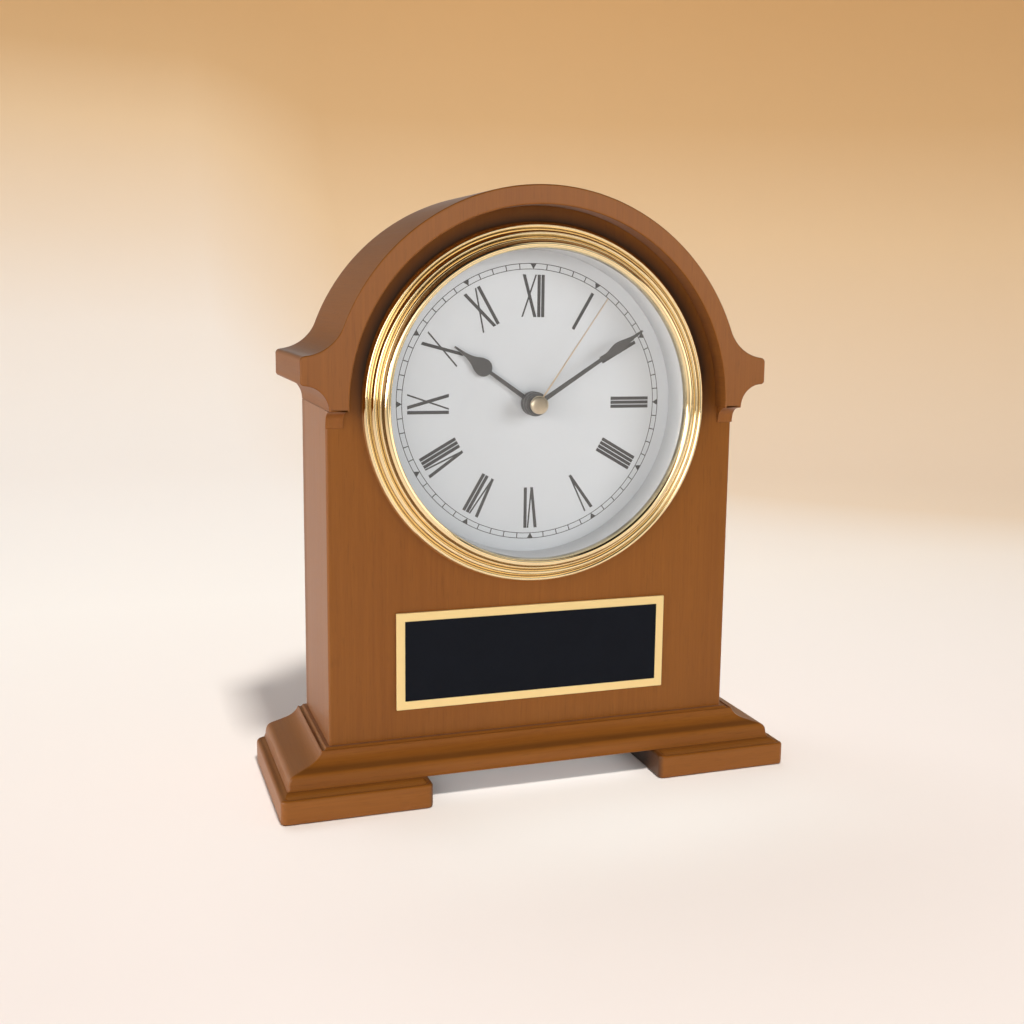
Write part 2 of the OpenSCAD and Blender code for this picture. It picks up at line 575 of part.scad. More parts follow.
// Two-part plastic case. The cell lies in an open bay below the train.
module movement_case_front() {
    color(black) place() difference() {
        union() {
            on_dial() fy(y0, y1c) difference() {
                rrect(mw, mw, 3);
                translate([0, 7.7]) rrect(mw - 2.4, 36.8, 2);
                translate([0, -18.6]) square([mw - 2.4, 15.2], center = true);
            }
            on_dial() fy(y0, y0 + 1.1) rrect(mw, mw, 3);
            pin_y(0, 0, 4.2, dial_y + 0.52, y0 + 0.5);
            for (s = [-1, 1]) on_dial() fy(y0, y0 + 1.6) {
                translate([s * 32.5, 0]) circle(r = 3.4, $fn = 48);
                translate([s * 30 - 2.8, -3.4]) square([5.6, 6.8]);
            }
        }
        pin_y(0, 0, 2.66, 0, 40);
        for (s = [-1, 1]) pin_y(s * 32.5, 0, 1.35, y0 - 1, y0 + 3);
        // blind pivot holes in the front plate
        pin_y(red[0], red[1], 0.67, y0 + 0.45, y0 + 2);
        for (p = [third, inter, rotp]) pin_y(p[0], p[1], hole, y0 + 0.45, y0 + 2);
        pin_y(knobp[0], knobp[1], 1.07, y0 + 0.45, y0 + 2);
    }
}
module movement_case_back() {
    color(black) place() difference() {
        union() {
            on_dial() fy(y1c, y2c) difference() {
                rrect(mw, mw, 3);
                translate([0, 7.7]) rrect(mw - 2.4, 36.8, 2);
                translate([0, -18.6]) square([mw - 2.4, 15.2], center = true);
            }
            // back plate over the train only
            on_dial() fy(y2c - 1.2, y2c) translate([0, 7.7]) square([mw - 2, 37.4], center = true);
            for (p = [[0, 0], third]) pin_y(p[0], p[1], 1.2, y0 + 10.6, y2c - 0.5);
            for (p = [inter, rotp]) pin_y(p[0], p[1], 1.2, y0 + 12.8, y2c - 0.5);
        }
        pin_y(0, 0, 0.52, y0 + 5, y0 + 14.4);
        for (p = [third, inter, rotp]) pin_y(p[0], p[1], hole, y0 + 5, y0 + 14.4);
        pin_y(knobp[0], knobp[1], 1.07, y0, y2c + 1);
    }
}
module movement_screws() {
    color(steel) place() for (s = [-1, 1]) {
        pin_y(s * 32.5, 0, 1.23, dial_y + 0.7, y0 + 1.7);
        difference() {
            pin_y(s * 32.5, 0, 2.4, y0 + 1.62, y0 + 3.0);
            translate([s * 32.5, y0 + 2.8, dial_z]) cube([4, 1, 0.6], center = true);
        }
    }
}
module battery() {
    color([0.75, 0.6, 0.25]) place() translate([0, cell_y, dial_z + cell_z]) rotate([0, 90, 0]) {
        translate([0, 0, -24.5]) cylinder(r = cell_r, h = 48.9, $fn = 96);
        translate([0, 0, 24.3]) cylinder(r = 2.7, h = 1.2, $fn = 48);
    }
}
module contact_pos() {
    color(steel) place() translate([0, cell_y, dial_z + cell_z]) {
        box3(26.3, 26.7, -5, 5, -5, 5);
        box3(25.5, 26.35, -2, 2, -2, 2);
    }
}
module contact_neg() {
    color(steel) place() translate([0, cell_y, dial_z + cell_z]) {
        box3(-26.7, -26.3, -5, 5, -5, 5);
        for (i = [0:3]) translate([-26.35 + i * 0.44, 0, 0]) rotate([0, 90, 0]) difference() {
            cylinder(r = 3.6 - 0.5 * i, h = 0.45, $fn = 48);
            translate([0, 0, -1]) cylinder(r = 2.8 - 0.5 * i, h = 3, $fn = 48);
        }
    }
}

// ---------------------------------------------------------------- name plate

module plate_at(w, h, y1, y2, r) {
    fy(y1, y2) translate([-1.2, plate_z + plate_h / 2]) rrect(w, h, r);
}
module nameplate_tape() { color([0.8, 0.8, 0.78]) place() plate_at(plate_w - 8, plate_h - 8, -0.2, 0, 1); }
module nameplate_border() { color(brass) place() plate_at(plate_w, plate_h, -0.95, -0.2, 0.3); }
module nameplate() { color(black) place() plate_at(plate_w - 2 * plate_rim, plate_h - 2 * plate_rim, -1.15, -0.95, 0.15); }

foot_left();
foot_right();
foot_pads();
foot_screws();
base_moulding();
base_screws();
front_panel();
side_left();
side_right();
arch_hood();
hood_dowels();
corbel_left();
corbel_right();
glue_blocks();
back_panel();
back_screws();
bezel();
lens();
lens_gasket();
dial_ring();
dial();
insert_cup();
clamp_brackets();
bracket_screws();
hour_hand();
minute_hand();
second_hand();
second_cap();
movement_case_front();
movement_case_back();
movement_screws();
battery();
contact_pos();
contact_neg();
circuit_board();
quartz_crystal();
coil_bobbin();
coil_winding();
stator();
rotor();
intermediate_wheel();
second_wheel();
third_wheel();
centre_wheel();
friction_washer();
minute_pipe();
reduction_wheel();
hour_wheel();
setting_knob();
nameplate_tape();
nameplate_border();
nameplate();
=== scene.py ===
import json
import math

import bpy
from mathutils import Matrix, Vector, geometry

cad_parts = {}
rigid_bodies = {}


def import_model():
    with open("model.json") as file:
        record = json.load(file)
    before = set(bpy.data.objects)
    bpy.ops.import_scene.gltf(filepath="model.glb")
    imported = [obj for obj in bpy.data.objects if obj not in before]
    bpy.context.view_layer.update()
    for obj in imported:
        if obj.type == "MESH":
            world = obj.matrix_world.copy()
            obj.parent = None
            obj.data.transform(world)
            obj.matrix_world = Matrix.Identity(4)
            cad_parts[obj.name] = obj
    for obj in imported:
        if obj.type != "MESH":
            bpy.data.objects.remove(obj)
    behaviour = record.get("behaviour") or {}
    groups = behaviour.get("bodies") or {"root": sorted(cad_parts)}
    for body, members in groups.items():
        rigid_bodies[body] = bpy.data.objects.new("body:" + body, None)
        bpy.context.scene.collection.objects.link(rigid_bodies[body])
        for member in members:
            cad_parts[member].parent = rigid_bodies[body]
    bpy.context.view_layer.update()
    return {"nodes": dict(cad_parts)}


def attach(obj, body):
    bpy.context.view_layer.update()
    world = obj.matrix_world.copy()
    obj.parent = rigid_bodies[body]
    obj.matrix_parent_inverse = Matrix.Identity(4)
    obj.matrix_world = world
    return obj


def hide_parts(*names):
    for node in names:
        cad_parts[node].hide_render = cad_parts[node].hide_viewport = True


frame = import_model()
NODES = frame["nodes"]

# Working frame of the part, in millimetres: x right, z up, y = 0 on the face of
# the front panel and growing towards the back. The row frame is the same, with
# y moved by YS, in metres.
YS = 16.25
DZ = 138.3      # centre of the dial
SZ = 137.4      # underside of the hood's ends
BZ = 20.3       # underside of the case
HOUR_DEG, MINUTE_DEG, SECOND_DEG = 304.7, 56.6, 34.4
PI = math.pi


def row(x, y, z):
    return (x * 0.001, (y - YS) * 0.001, z * 0.001)


# ------------------------------------------------------------------ mesh code

def build(name, verts, norms, faces, mats, fmat=None, flat=None, body="case", node=None, slot=None):
    """A mesh with its own normals. verts are millimetres of the working frame,
    norms one per vertex, flat {face index: normal} for faces with a crisp edge."""
    flat = flat or {}
    good, normals, index = [], [], []
    for i, f in enumerate(faces):
        p0 = verts[f[0]]
        nx = ny = nz = 0.0
        for k in range(1, len(f) - 1):
            p, q = verts[f[k]], verts[f[k + 1]]
            ax, ay, az = p[0] - p0[0], p[1] - p0[1], p[2] - p0[2]
            bx, by, bz = q[0] - p0[0], q[1] - p0[1], q[2] - p0[2]
            nx += ay * bz - az * by
            ny += az * bx - ax * bz
            nz += ax * by - ay * bx
        if nx * nx + ny * ny + nz * nz < 1e-14:
            continue
        if i in flat:
            want = flat[i]
        else:
            want = [sum(norms[v][k] for v in f) for k in range(3)]
        g = list(f) if nx * want[0] + ny * want[1] + nz * want[2] >= 0 else list(f)[::-1]
        good.append(g)
        index.append(fmat[i] if fmat else 0)
        for v in g:
            normals.append(flat[i] if i in flat else norms[v])
    me = bpy.data.meshes.new(name)
    me.from_pydata([row(*v) for v in verts], [], good, shade_flat=False)
    for m in mats:
        me.materials.append(m)
    if fmat:
        me.polygons.foreach_set("material_index", index)
    me.normals_split_custom_set([Vector(n).normalized() for n in normals])
    me.update()
    ob = bpy.data.objects.new(name, me)
    bpy.context.scene.collection.objects.link(ob)
    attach(ob, body)
    if node:
        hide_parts(*([node] if isinstance(node, str) else node))
    return ob


def arcp(cx, cz, r, a0, a1, n, sign=1):
    """Points on an arc, degrees, each with its normal (sign -1: towards the centre)."""
    out = []
    for i in range(n + 1):
        a = math.radians(a0 + (a1 - a0) * i / n)
        c, s = math.cos(a), math.sin(a)
        out.append((cx + r * c, cz + r * s, sign * c, sign * s))
    return out


def outline(points, closed=True, side=1, n=5):
    """Rounds the corners of a polyline. Each point is (a, b) or (a, b, radius).
    side 1: the outside is on the right of the way (a counter-clockwise solid)."""
    pts = [(p[0], p[1], p[2] if len(p) > 2 else 0.0) for p in points]
    clean = []
    for p in pts:
        if not clean or math.hypot(p[0] - clean[-1][0], p[1] - clean[-1][1]) > 1e-6:
            clean.append(p)
    if closed and math.hypot(clean[0][0] - clean[-1][0], clean[0][1] - clean[-1][1]) < 1e-6:
        clean.pop()
    pts, m, out = clean, len(clean), []

    def direction(i, j):
        dx, dz = pts[j][0] - pts[i][0], pts[j][1] - pts[i][1]
        d = math.hypot(dx, dz)
        return dx / d, dz / d, d
    for i in range(m):
        if not closed and i in (0, m - 1):
            j, k = (0, 1) if i == 0 else (m - 2, m - 1)
            dx, dz, _ = direction(j, k)
            out.append((pts[i][0], pts[i][1], side * dz, -side * dx))
            continue
        ax, az, la = direction((i - 1) % m, i)
        bx, bz, lb = direction(i, (i + 1) % m)
        n1, n2 = (side * az, -side * ax), (side * bz, -side * bx)
        turn = math.atan2(ax * bz - az * bx, ax * bx + az * bz)
        r = pts[i][2]
        if r > 0 and abs(turn) > 0.02:
            t = min(r * math.tan(abs(turn) / 2), 0.48 * la, 0.48 * lb)
            r = t / math.tan(abs(turn) / 2)
            # the centre lies on the side that the way turns to
            s = 1 if turn > 0 else -1
            cx, cz = pts[i][0] - ax * t - s * az * r, pts[i][1] - az * t + s * ax * r
            w0 = math.atan2(-s * -az, -s * ax)
            for k in range(n + 1):
                w = turn * k / n
                c, q = math.cos(w), math.sin(w)
                # radius vector at the start is minus (s times the left normal)
                rx, rz = s * az, -s * ax
                vx, vz = rx * c - rz * q, rx * q + rz * c
                nn = (n1[0] * c - n1[1] * q, n1[0] * q + n1[1] * c)
                out.append((cx + vx * r, cz + vz * r, nn[0], nn[1]))
        else:
            nx, nz = n1[0] + n2[0], n1[1] + n2[1]
            d = math.hypot(nx, nz) or 1.0
            out.append((pts[i][0], pts[i][1], nx / d, nz / d))
    return out


def spline(points, per=4):
    """Catmull-Rom through 2D points, ends kept."""
    p = [points[0]] + list(points) + [points[-1]]
    out = []
    for i in range(1, len(p) - 2):
        for k in range(per):
            t = k / per
            out.append(tuple(0.5 * (2 * p[i][j] + (p[i + 1][j] - p[i - 1][j]) * t
                                    + (2 * p[i - 1][j] - 5 * p[i][j] + 4 * p[i + 1][j] - p[i + 2][j]) * t * t
                                    + (3 * p[i][j] - p[i - 1][j] - 3 * p[i + 1][j] + p[i + 2][j]) * t ** 3) for j in (0, 1)))
    out.append(tuple(points[-1]))
    return out


def prism_parts(loops, t0, t1, r0, r1, seg, axis, weight, v0=0):
    """Vertices, normals and faces of an outline drawn out along an axis, with
    both ends' edges rounded by r0 and r1."""
    put = (lambda a, b, t: (a, t, b)) if axis == "y" else (lambda a, b, t: (t, a, b))
    cap0, cap1 = ((0, -1, 0), (0, 1, 0)) if axis == "y" else ((-1, 0, 0), (1, 0, 0))
    verts, norms, faces, kinds = [], [], [], []
    rings = []
    for k in range(seg + 1):
        a = PI / 2 * k / seg
        rings.append((t0, 1 - math.cos(a), 1 - math.sin(a), cap0, a, r0, 1))
    for k in range(seg + 1):
        a = PI / 2 * (1 - k / seg)
        rings.append((t1, 1 - math.cos(a), 1 - math.sin(a), cap1, a, r1, -1))
    nr = len(rings)
    starts = []
    for li, loop in enumerate(loops):
        base = v0 + len(verts)
        starts.append(base)
        n = len(loop)
        for t, along, inset, cap, a, r, way in rings:
            for i, (x, z, nx, nz) in enumerate(loop):
                w = weight(li, i, loop[i]) if weight else 1.0
                q = r * w
                verts.append(put(x - nx * inset * q, z - nz * inset * q, t + way * along * q))
                s, c = math.sin(a), math.cos(a)
                m = put(nx * s, nz * s, 0.0)
                norms.append(tuple(m[j] + cap[j] * c for j in range(3)))
        for k in range(nr - 1):
            for i in range(n):
                j = (i + 1) % n
                faces.append([base + k * n + i, base + k * n + j, base + (k + 1) * n + j, base + (k + 1) * n + i])
                kinds.append(0 if k < seg // 2 else (2 if k > nr - 2 - seg // 2 else 1))
    for ring, kind in ((0, 0), (nr - 1, 2)):
        flat2, ids = [], []
        for base, loop in zip(starts, loops):
            n = len(loop)
            ids += [base + ring * n + i for i in range(n)]
            sel = verts[base - v0 + ring * n: base - v0 + ring * n + n]
            flat2.append([Vector((p[0] if axis == "y" else p[1], p[2], 0)) for p in sel])
        for tri in geometry.tessellate_polygon(flat2):
            faces.append([ids[i] for i in tri])
            kinds.append(kind)
    return verts, norms, faces, kinds


def prism(name, loops, t0, t1, mats, r0=0.2, r1=0.2, seg=3, axis="y", weight=None, by_kind=None, **kw):
    v, n, f, kinds = prism_parts(loops, t0, t1, r0, r1, seg, axis, weight)
    fmat = [by_kind[k] for k in kinds] if by_kind else None
    return build(name, v, n, f, mats, fmat, **kw)


def revolve(name, prof, mats, n=256, **kw):
    """A closed profile (radius, y, and normal) turned about the dial's axis."""
    verts, norms, faces = [], [], []
    ids = []
    for r, y, nr, ny in prof:
        if r < 1e-6:
            ids.append([len(verts)] * n)
            verts.append((0, y, DZ))
            norms.append((0, 1 if ny > 0 else -1, 0))
            continue
        line = []
        for i in range(n):
            a = 2 * PI * i / n
            c, s = math.cos(a), math.sin(a)
            line.append(len(verts))
            verts.append((r * c, y, DZ + r * s))
            norms.append((nr * c, ny, nr * s))
        ids.append(line)
    m = len(prof)
    for k in range(m):
        a, b = ids[k], ids[(k + 1) % m]
        if a[0] == a[-1] and b[0] == b[-1]:
            continue
        for i in range(n):
            j = (i + 1) % n
            f = [a[i], a[j], b[j], b[i]]
            g = [v for q, v in enumerate(f) if v not in f[:q]]
            faces.append(g)
    return build(name, verts, norms, faces, mats, **kw)


def ring_loops(ro, ri, n=256, cx=0.0, cz=DZ):
    outer = [(cx + ro * math.cos(2 * PI * i / n), cz + ro * math.sin(2 * PI * i / n), math.cos(2 * PI * i / n), math.sin(2 * PI * i / n)) for i in range(n)]
    inner = [(cx + ri * math.cos(2 * PI * i / n), cz + ri * math.sin(2 * PI * i / n), -math.cos(2 * PI * i / n), -math.sin(2 * PI * i / n)) for i in range(n)][::-1]
    return [outer, inner]


def spin(loop, deg, cz=DZ):
    """Turns an outline that points up, clockwise about the dial's axis."""
    a = math.radians(deg)
    c, s = math.cos(a), math.sin(a)
    return [(x * c + z * s, cz - x * s + z * c, nx * c + nz * s, -nx * s + nz * c) for x, z, nx, nz in loop]


# ------------------------------------------------------------------ materials

class Mat:
    """Short way to write a node tree around one Principled shader."""

    def __init__(self, name):
        self.m = bpy.data.materials.new(name)
        self.m.use_nodes = True
        self.t = self.m.node_tree
        self.t.nodes.clear()
        self.out = self.t.nodes.new("ShaderNodeOutputMaterial")
        self.b = self.t.nodes.new("ShaderNodeBsdfPrincipled")
        self.t.links.new(self.b.outputs["BSDF"], self.out.inputs["Surface"])

    def put(self, node, key, value):
        s = node.inputs[key]
        if isinstance(value, bpy.types.NodeSocket):
            self.t.links.new(value, s)
        else:
            s.default_value = value

    def set(self, **kw):
        for k, v in kw.items():
            self.put(self.b, k.replace("_", " "), v)

    def coord(self):
        return self.t.nodes.new("ShaderNodeTexCoord").outputs["Object"]

    def scaled(self, vec, scale, loc=(0, 0, 0)):
        n = self.t.nodes.new("ShaderNodeMapping")
        self.put(n, "Vector", vec)
        n.inputs["Scale"].default_value = scale
        n.inputs["Location"].default_value = loc
        return n.outputs["Vector"]

    def noise(self, vec, scale=1.0, detail=2.0, rough=0.5, distort=0.0):
        n = self.t.nodes.new("ShaderNodeTexNoise")
        self.put(n, "Vector", vec)
        n.inputs["Scale"].default_value = scale
        n.inputs["Detail"].default_value = detail
        n.inputs["Roughness"].default_value = rough
        n.inputs["Distortion"].default_value = distort
        return n.outputs["Fac"]

    def math(self, op, a, b=0.0, c=None, clamp=False):
        n = self.t.nodes.new("ShaderNodeMath")
        n.operation = op
        n.use_clamp = clamp
        self.put(n, 0, a)
        self.put(n, 1, b)
        if c is not None:
            self.put(n, 2, c)
        return n.outputs[0]

    def vmath(self, op, a, b):
        n = self.t.nodes.new("ShaderNodeVectorMath")
        n.operation = op
        self.put(n, 0, a)
        self.put(n, 1, b)
        return n.outputs[0]

    def ramp(self, fac, stops, smooth=True):
        n = self.t.nodes.new("ShaderNodeValToRGB")
        cr = n.color_ramp
        cr.interpolation = "EASE" if smooth else "LINEAR"
        while len(cr.elements) < len(stops):
            cr.elements.new(0.5)
        for e, (p, c) in zip(cr.elements, stops):
            e.position = p
            e.color = c if len(c) == 4 else (*c, 1)
        self.put(n, "Fac", fac)
        return n.outputs["Color"]

    def remap(self, v, a, b, c, d):
        n = self.t.nodes.new("ShaderNodeMapRange")
        self.put(n, "Value", v)
        for k, x in zip(("From Min", "From Max", "To Min", "To Max"), (a, b, c, d)):
            n.inputs[k].default_value = x
        return n.outputs[0]

    def mix(self, fac, a, b, blend="MIX"):
        n = self.t.nodes.new("ShaderNodeMix")
        n.data_type = "RGBA"
        n.blend_type = blend
        self.put(n, 0, fac)
        self.put(n, 6, (*a, 1) if isinstance(a, tuple) and len(a) == 3 else a)
        self.put(n, 7, (*b, 1) if isinstance(b, tuple) and len(b) == 3 else b)
        return n.outputs[2]

    def bump(self, height, strength, distance):
        n = self.t.nodes.new("ShaderNodeBump")
        n.inputs["Strength"].default_value = strength
        n.inputs["Distance"].default_value = distance
        self.put(n, "Height", height)
        self.put(self.b, "Normal", n.outputs["Normal"])
        return n

    def xyz(self, vec):
        n = self.t.nodes.new("ShaderNodeSeparateXYZ")
        self.put(n, 0, vec)
        return n.outputs


def wood(name, axis, mid, spread=0.13, seed=0.0, rough=0.48, coat=0.20, coat_rough=0.33, fine=1.0, sheen=0.10, hollow_shade=0.0, trench_shade=0.0, ends=0.0, spec=0.22):
    """Stained close-grained wood under a satin lacquer; the grain runs along axis."""
    t = Mat(name)
    co = t.scaled(t.coord(), (1, 1, 1), (seed, seed * 0.7, seed * 1.3))

    def vec(across, along):
        s = [across] * 3
        s["xyz".index(axis)] = along
        return tuple(s)
    wander = t.noise(t.scaled(co, vec(9, 5)), 1, 1)
    shift = t.math("MULTIPLY", t.math("SUBTRACT", wander, 0.5), 0.004)
    comb = t.t.nodes.new("ShaderNodeCombineXYZ")
    for i, a in enumerate("XYZ"):
        if a.lower() != axis:
            t.put(comb, a, shift)
    co2 = t.vmath("ADD", co, comb.outputs[0])
    tone = t.noise(t.scaled(co2, vec(26, 3.5)), 1, 2, 0.5)
    streak = t.noise(t.scaled(co2, vec(430, 7)), 1, 3, 0.55)
    fibre = t.noise(t.scaled(co2, vec(1500, 42)), 1, 2, 0.6)
    pore = t.noise(t.scaled(co2, vec(1900, 150)), 1, 1, 0.5)
    f = t.math("MULTIPLY", t.math("SUBTRACT", tone, 0.5), 0.8)
    f = t.math("ADD", f, t.math("MULTIPLY", t.math("SUBTRACT", streak, 0.5), 1.0 * fine))
    f = t.math("ADD", f, t.math("MULTIPLY", t.math("SUBTRACT", fibre, 0.5), 1.1 * fine))
    f = t.math("ADD", f, 0.5, clamp=True)
    lo = tuple(c * (1 - spread * (1.0 + 0.5 * k)) for k, c in enumerate(mid))
    hi = tuple(c * (1 + spread * (1.0 + 0.4 * k)) for k, c in enumerate(mid))
    colour = t.ramp(f, [(0.0, lo), (0.5, mid), (1.0, hi)], smooth=False)
    pores = t.remap(pore, 0.60, 0.74, 0.0, 1.0)
    colour = t.mix(t.math("MULTIPLY", pores, 0.26 * fine), colour, tuple(c * 0.45 for c in mid))
    if hollow_shade:
        # painted shade: the wood is darkened where the moulding's hollow is nearly level
        z = t.xyz(t.coord())[2]
        m = t.math("MULTIPLY", t.remap(z, 0.01395, 0.01445, 0.0, 1.0), t.remap(z, 0.01505, 0.01570, 1.0, 0.0))
        colour = t.mix(t.math("MULTIPLY", m, hollow_shade), colour, tuple(c * 0.30 for c in mid))
    if trench_shade:
        # painted shade in the narrow well round the insert, darkest beside the bezel and towards the top
        px, _, pz = t.xyz(t.coord())
        pz = t.math("SUBTRACT", pz, DZ * 0.001)
        r = t.math("SQRT", t.math("ADD", t.math("MULTIPLY", px, px), t.math("MULTIPLY", pz, pz)))
        up = t.remap(pz, -0.012, 0.012, 0.12, 1.0)
        m = t.math("MULTIPLY", t.remap(r, 0.0645, 0.0688, 1.0, 0.25), up)
        colour = t.mix(t.math("MULTIPLY", m, trench_shade), colour, tuple(c * 0.06 for c in mid))
    if ends:
        # painted shade on the end faces of the feet that face the middle, deeper towards the back
        px, py, _ = t.xyz(t.coord())
        m = t.math("MULTIPLY", t.remap(t.math("ABSOLUTE", px), 0.0431, 0.0446, 1.0, 0.0), t.remap(py, -0.0330, -0.0180, 0.72, 1.0))
        colour = t.mix(t.math("MULTIPLY", m, ends), colour, tuple(c * 0.03 for c in mid))
    t.set(Base_Color=colour, IOR=1.5, Specular_IOR_Level=spec, Coat_Weight=coat, Coat_Roughness=coat_rough)
    t.set(Sheen_Weight=sheen, Sheen_Roughness=0.35)
    rr = t.math("ADD", t.math("MULTIPLY", t.math("SUBTRACT", streak, 0.5), 0.14), rough)
    t.set(Roughness=rr)
    peel = t.noise(t.scaled(co, (420, 420, 420)), 1, 1)
    h = t.math("SUBTRACT", t.math("MULTIPLY", fibre, 0.35), t.math("MULTIPLY", pores, 0.7))
    h = t.math("ADD", h, t.math("MULTIPLY", peel, 0.5))
    t.bump(h, 0.16, 0.00012)
    return t.m


def plain(name, colour, metallic=0.0, rough=0.4, scale=300.0, var=0.08, rvar=0.1, bump=0.05, dist=0.00005,
          stretch=(1, 1, 1), detail=3.0, **sockets):
    """Any finish with a small procedural variation in colour, gloss and relief."""
    t = Mat(name)
    co = t.scaled(t.coord(), tuple(scale * s for s in stretch))
    n1 = t.noise(co, 1, detail, 0.6)
    n2 = t.noise(t.scaled(t.coord(), (scale * 0.13,) * 3, (3.1, 1.7, 0.4)), 1, 2, 0.5)
    f = t.math("ADD", t.math("MULTIPLY", n1, 0.5), t.math("MULTIPLY", n2, 0.5))
    t.set(Base_Color=t.mix(f, tuple(c * (1 - var) for c in colour), tuple(min(1.0, c * (1 + var)) for c in colour)))
    t.set(Roughness=t.math("ADD", t.math("MULTIPLY", t.math("SUBTRACT", n1, 0.5), rvar), rough), Metallic=metallic)
    for k, v in sockets.items():
        t.put(t.b, k.replace("_", " "), v)
    t.bump(n1, bump, dist)
    return t.m


def turned_metal(name, colour, rough, lines=2600.0, bump=0.05, var=0.06):
    """Metal polished on a lathe: fine rings about the dial's axis."""
    t = Mat(name)
    x, y, z = (t.xyz(t.coord())[i] for i in range(3))
    zz = t.math("SUBTRACT", z, DZ * 0.001)
    r = t.math("SQRT", t.math("ADD", t.math("MULTIPLY", x, x), t.math("MULTIPLY", zz, zz)))
    comb = t.t.nodes.new("ShaderNodeCombineXYZ")
    t.put(comb, "X", t.math("MULTIPLY", r, lines))
    t.put(comb, "Y", t.math("MULTIPLY", y, lines))
    t.put(comb, "Z", t.math("MULTIPLY", t.math("ARCTAN2", zz, x), 0.35))
    n1 = t.noise(comb.outputs[0], 1, 2, 0.5)
    n2 = t.noise(t.scaled(t.coord(), (90, 90, 90)), 1, 2)
    tint = t.mix(n2, tuple(c * (1 - var) for c in colour), tuple(min(1, c * (1 + var)) for c in colour))
    # painted shade: the valleys between the beads are darkened to a dark brown
    for r0, half in ((0.06160, 0.00017), (0.05890, 0.00017), (0.05727, 0.00024)):
        away = t.math("ABSOLUTE", t.math("SUBTRACT", r, r0))
        tint = t.mix(t.remap(away, half * 0.35, half, 0.8, 0.0), tint, (0.17, 0.075, 0.030))
    t.set(Base_Color=tint, Metallic=1.0, Roughness=t.math("ADD", t.math("MULTIPLY", t.math("SUBTRACT", n1, 0.5), 0.06), rough))
    t.bump(n1, bump, 0.00001)
    return t.m


CARAMEL = (0.232, 0.076, 0.0092)
MW = {
    # the panel takes painted shade in the well round the insert
    "case_z": wood("wood_panel_upright", "z", CARAMEL, seed=0.0, fine=0.75, trench_shade=0.9),
    "side_z": wood("wood_side_upright", "z", CARAMEL, seed=0.31),
    "hood_front": wood("wood_hood_face", "z", CARAMEL, seed=0.57, fine=0.75),
    # painted shade: the hood's wrap takes the case wood darkened to 0.84
    "hood_wrap": wood("wood_hood_wrap", "y", tuple(c * 0.84 for c in CARAMEL), seed=0.83, rough=0.60, coat=0.02, sheen=0.17, spec=0.12),
    # the front of the base takes painted shade in the level part of its hollow
    "base_x": wood("wood_base_front", "x", CARAMEL, seed=1.13, fine=0.8, hollow_shade=0.45),
    "base_y": wood("wood_base_return", "y", CARAMEL, seed=1.41, fine=0.8),
    # the feet take painted shade on their inner end faces
    "foot_x": wood("wood_foot", "x", CARAMEL, seed=1.77, fine=0.8, sheen=0.03, ends=0.94),
    "back_z": wood("wood_back_upright", "z", tuple(c * 0.86 for c in CARAMEL), seed=2.11, rough=0.5, coat=0.08),
    "pale": wood("wood_pale", "y", (0.46, 0.30, 0.15), seed=2.7, rough=0.6, coat=0.0),
}
GOLD = turned_metal("gold_turned", (0.99, 0.78, 0.46), 0.06)
GOLD_ROLL = turned_metal("gold_turned_roll", (0.95, 0.68, 0.32), 0.20)
GOLD_FLAT = plain("gold_satin", (1.0, 0.765, 0.36), 0.72, 0.30, scale=500, var=0.02, rvar=0.06, bump=0.02, stretch=(0.12, 1, 1))
GOLD_GRAIN = plain("gold_grained", (0.84, 0.65, 0.47), 1.0, 0.36, scale=1500, var=0.34, rvar=0.2, bump=0.35, dist=0.00004)
GOLD_THIN = plain("gold_needle", (0.86, 0.67, 0.46), 0.75, 0.35, scale=900, var=0.05)
BLACK_PLATE = plain("plate_black_gloss", (0.0046, 0.0062, 0.0100), 0.0, 0.20, scale=900, var=0.25, rvar=0.05, bump=0.03, Specular_IOR_Level=0.09)
DIAL = plain("dial_silver_white", (0.735, 0.752, 0.778), 0.0, 0.46, scale=1400, var=0.012, rvar=0.08, bump=0.03, dist=0.00001)
WALL = plain("dial_wall_silver", (0.83, 0.835, 0.84), 0.15, 0.40, scale=800, var=0.02)
INK = plain("dial_print", (0.060, 0.056, 0.054), 0.0, 0.60, scale=2500, var=0.10)
HAND = plain("hand_dark_satin", (0.085, 0.080, 0.077), 0.0, 0.38, scale=1500, var=0.12, rvar=0.1, bump=0.06)
STEEL = plain("steel_zinc", (0.58, 0.58, 0.60), 1.0, 0.30, scale=700, var=0.06)
BRASS = plain("brass_bright", (0.78, 0.56, 0.24), 1.0, 0.24, scale=700, var=0.05)
BLACK = plain("plastic_black", (0.020, 0.020, 0.022), 0.0, 0.46, scale=2200, var=0.2, bump=0.25, dist=0.00003)
KNOB = plain("plastic_black_knob", (0.026, 0.026, 0.028), 0.0, 0.34, scale=2200, var=0.2, bump=0.15, dist=0.00003)
CUP = plain("cup_grey", (0.45, 0.45, 0.44), 0.6, 0.38, scale=500, var=0.05)
RUBBER = plain("seal_grey", (0.50, 0.50, 0.49), 0.0, 0.7, scale=1500, var=0.2)
FELT = plain("felt_dark", (0.02, 0.026, 0.021), 0.0, 0.95, scale=3500, var=0.5, bump=0.8, dist=0.0002, Sheen_Weight=0.4)
TAPE = plain("tape_white", (0.72, 0.72, 0.70), 0.0, 0.7, scale=900, var=0.05)
ACETAL = plain("acetal_white", (0.80, 0.78, 0.70), 0.0, 0.42, scale=1200, var=0.03)
COPPER = plain("copper_enamel", (0.62, 0.24, 0.10), 0.7, 0.30, scale=2400, var=0.15, stretch=(4, 0.2, 0.2), bump=0.5, dist=0.00005)
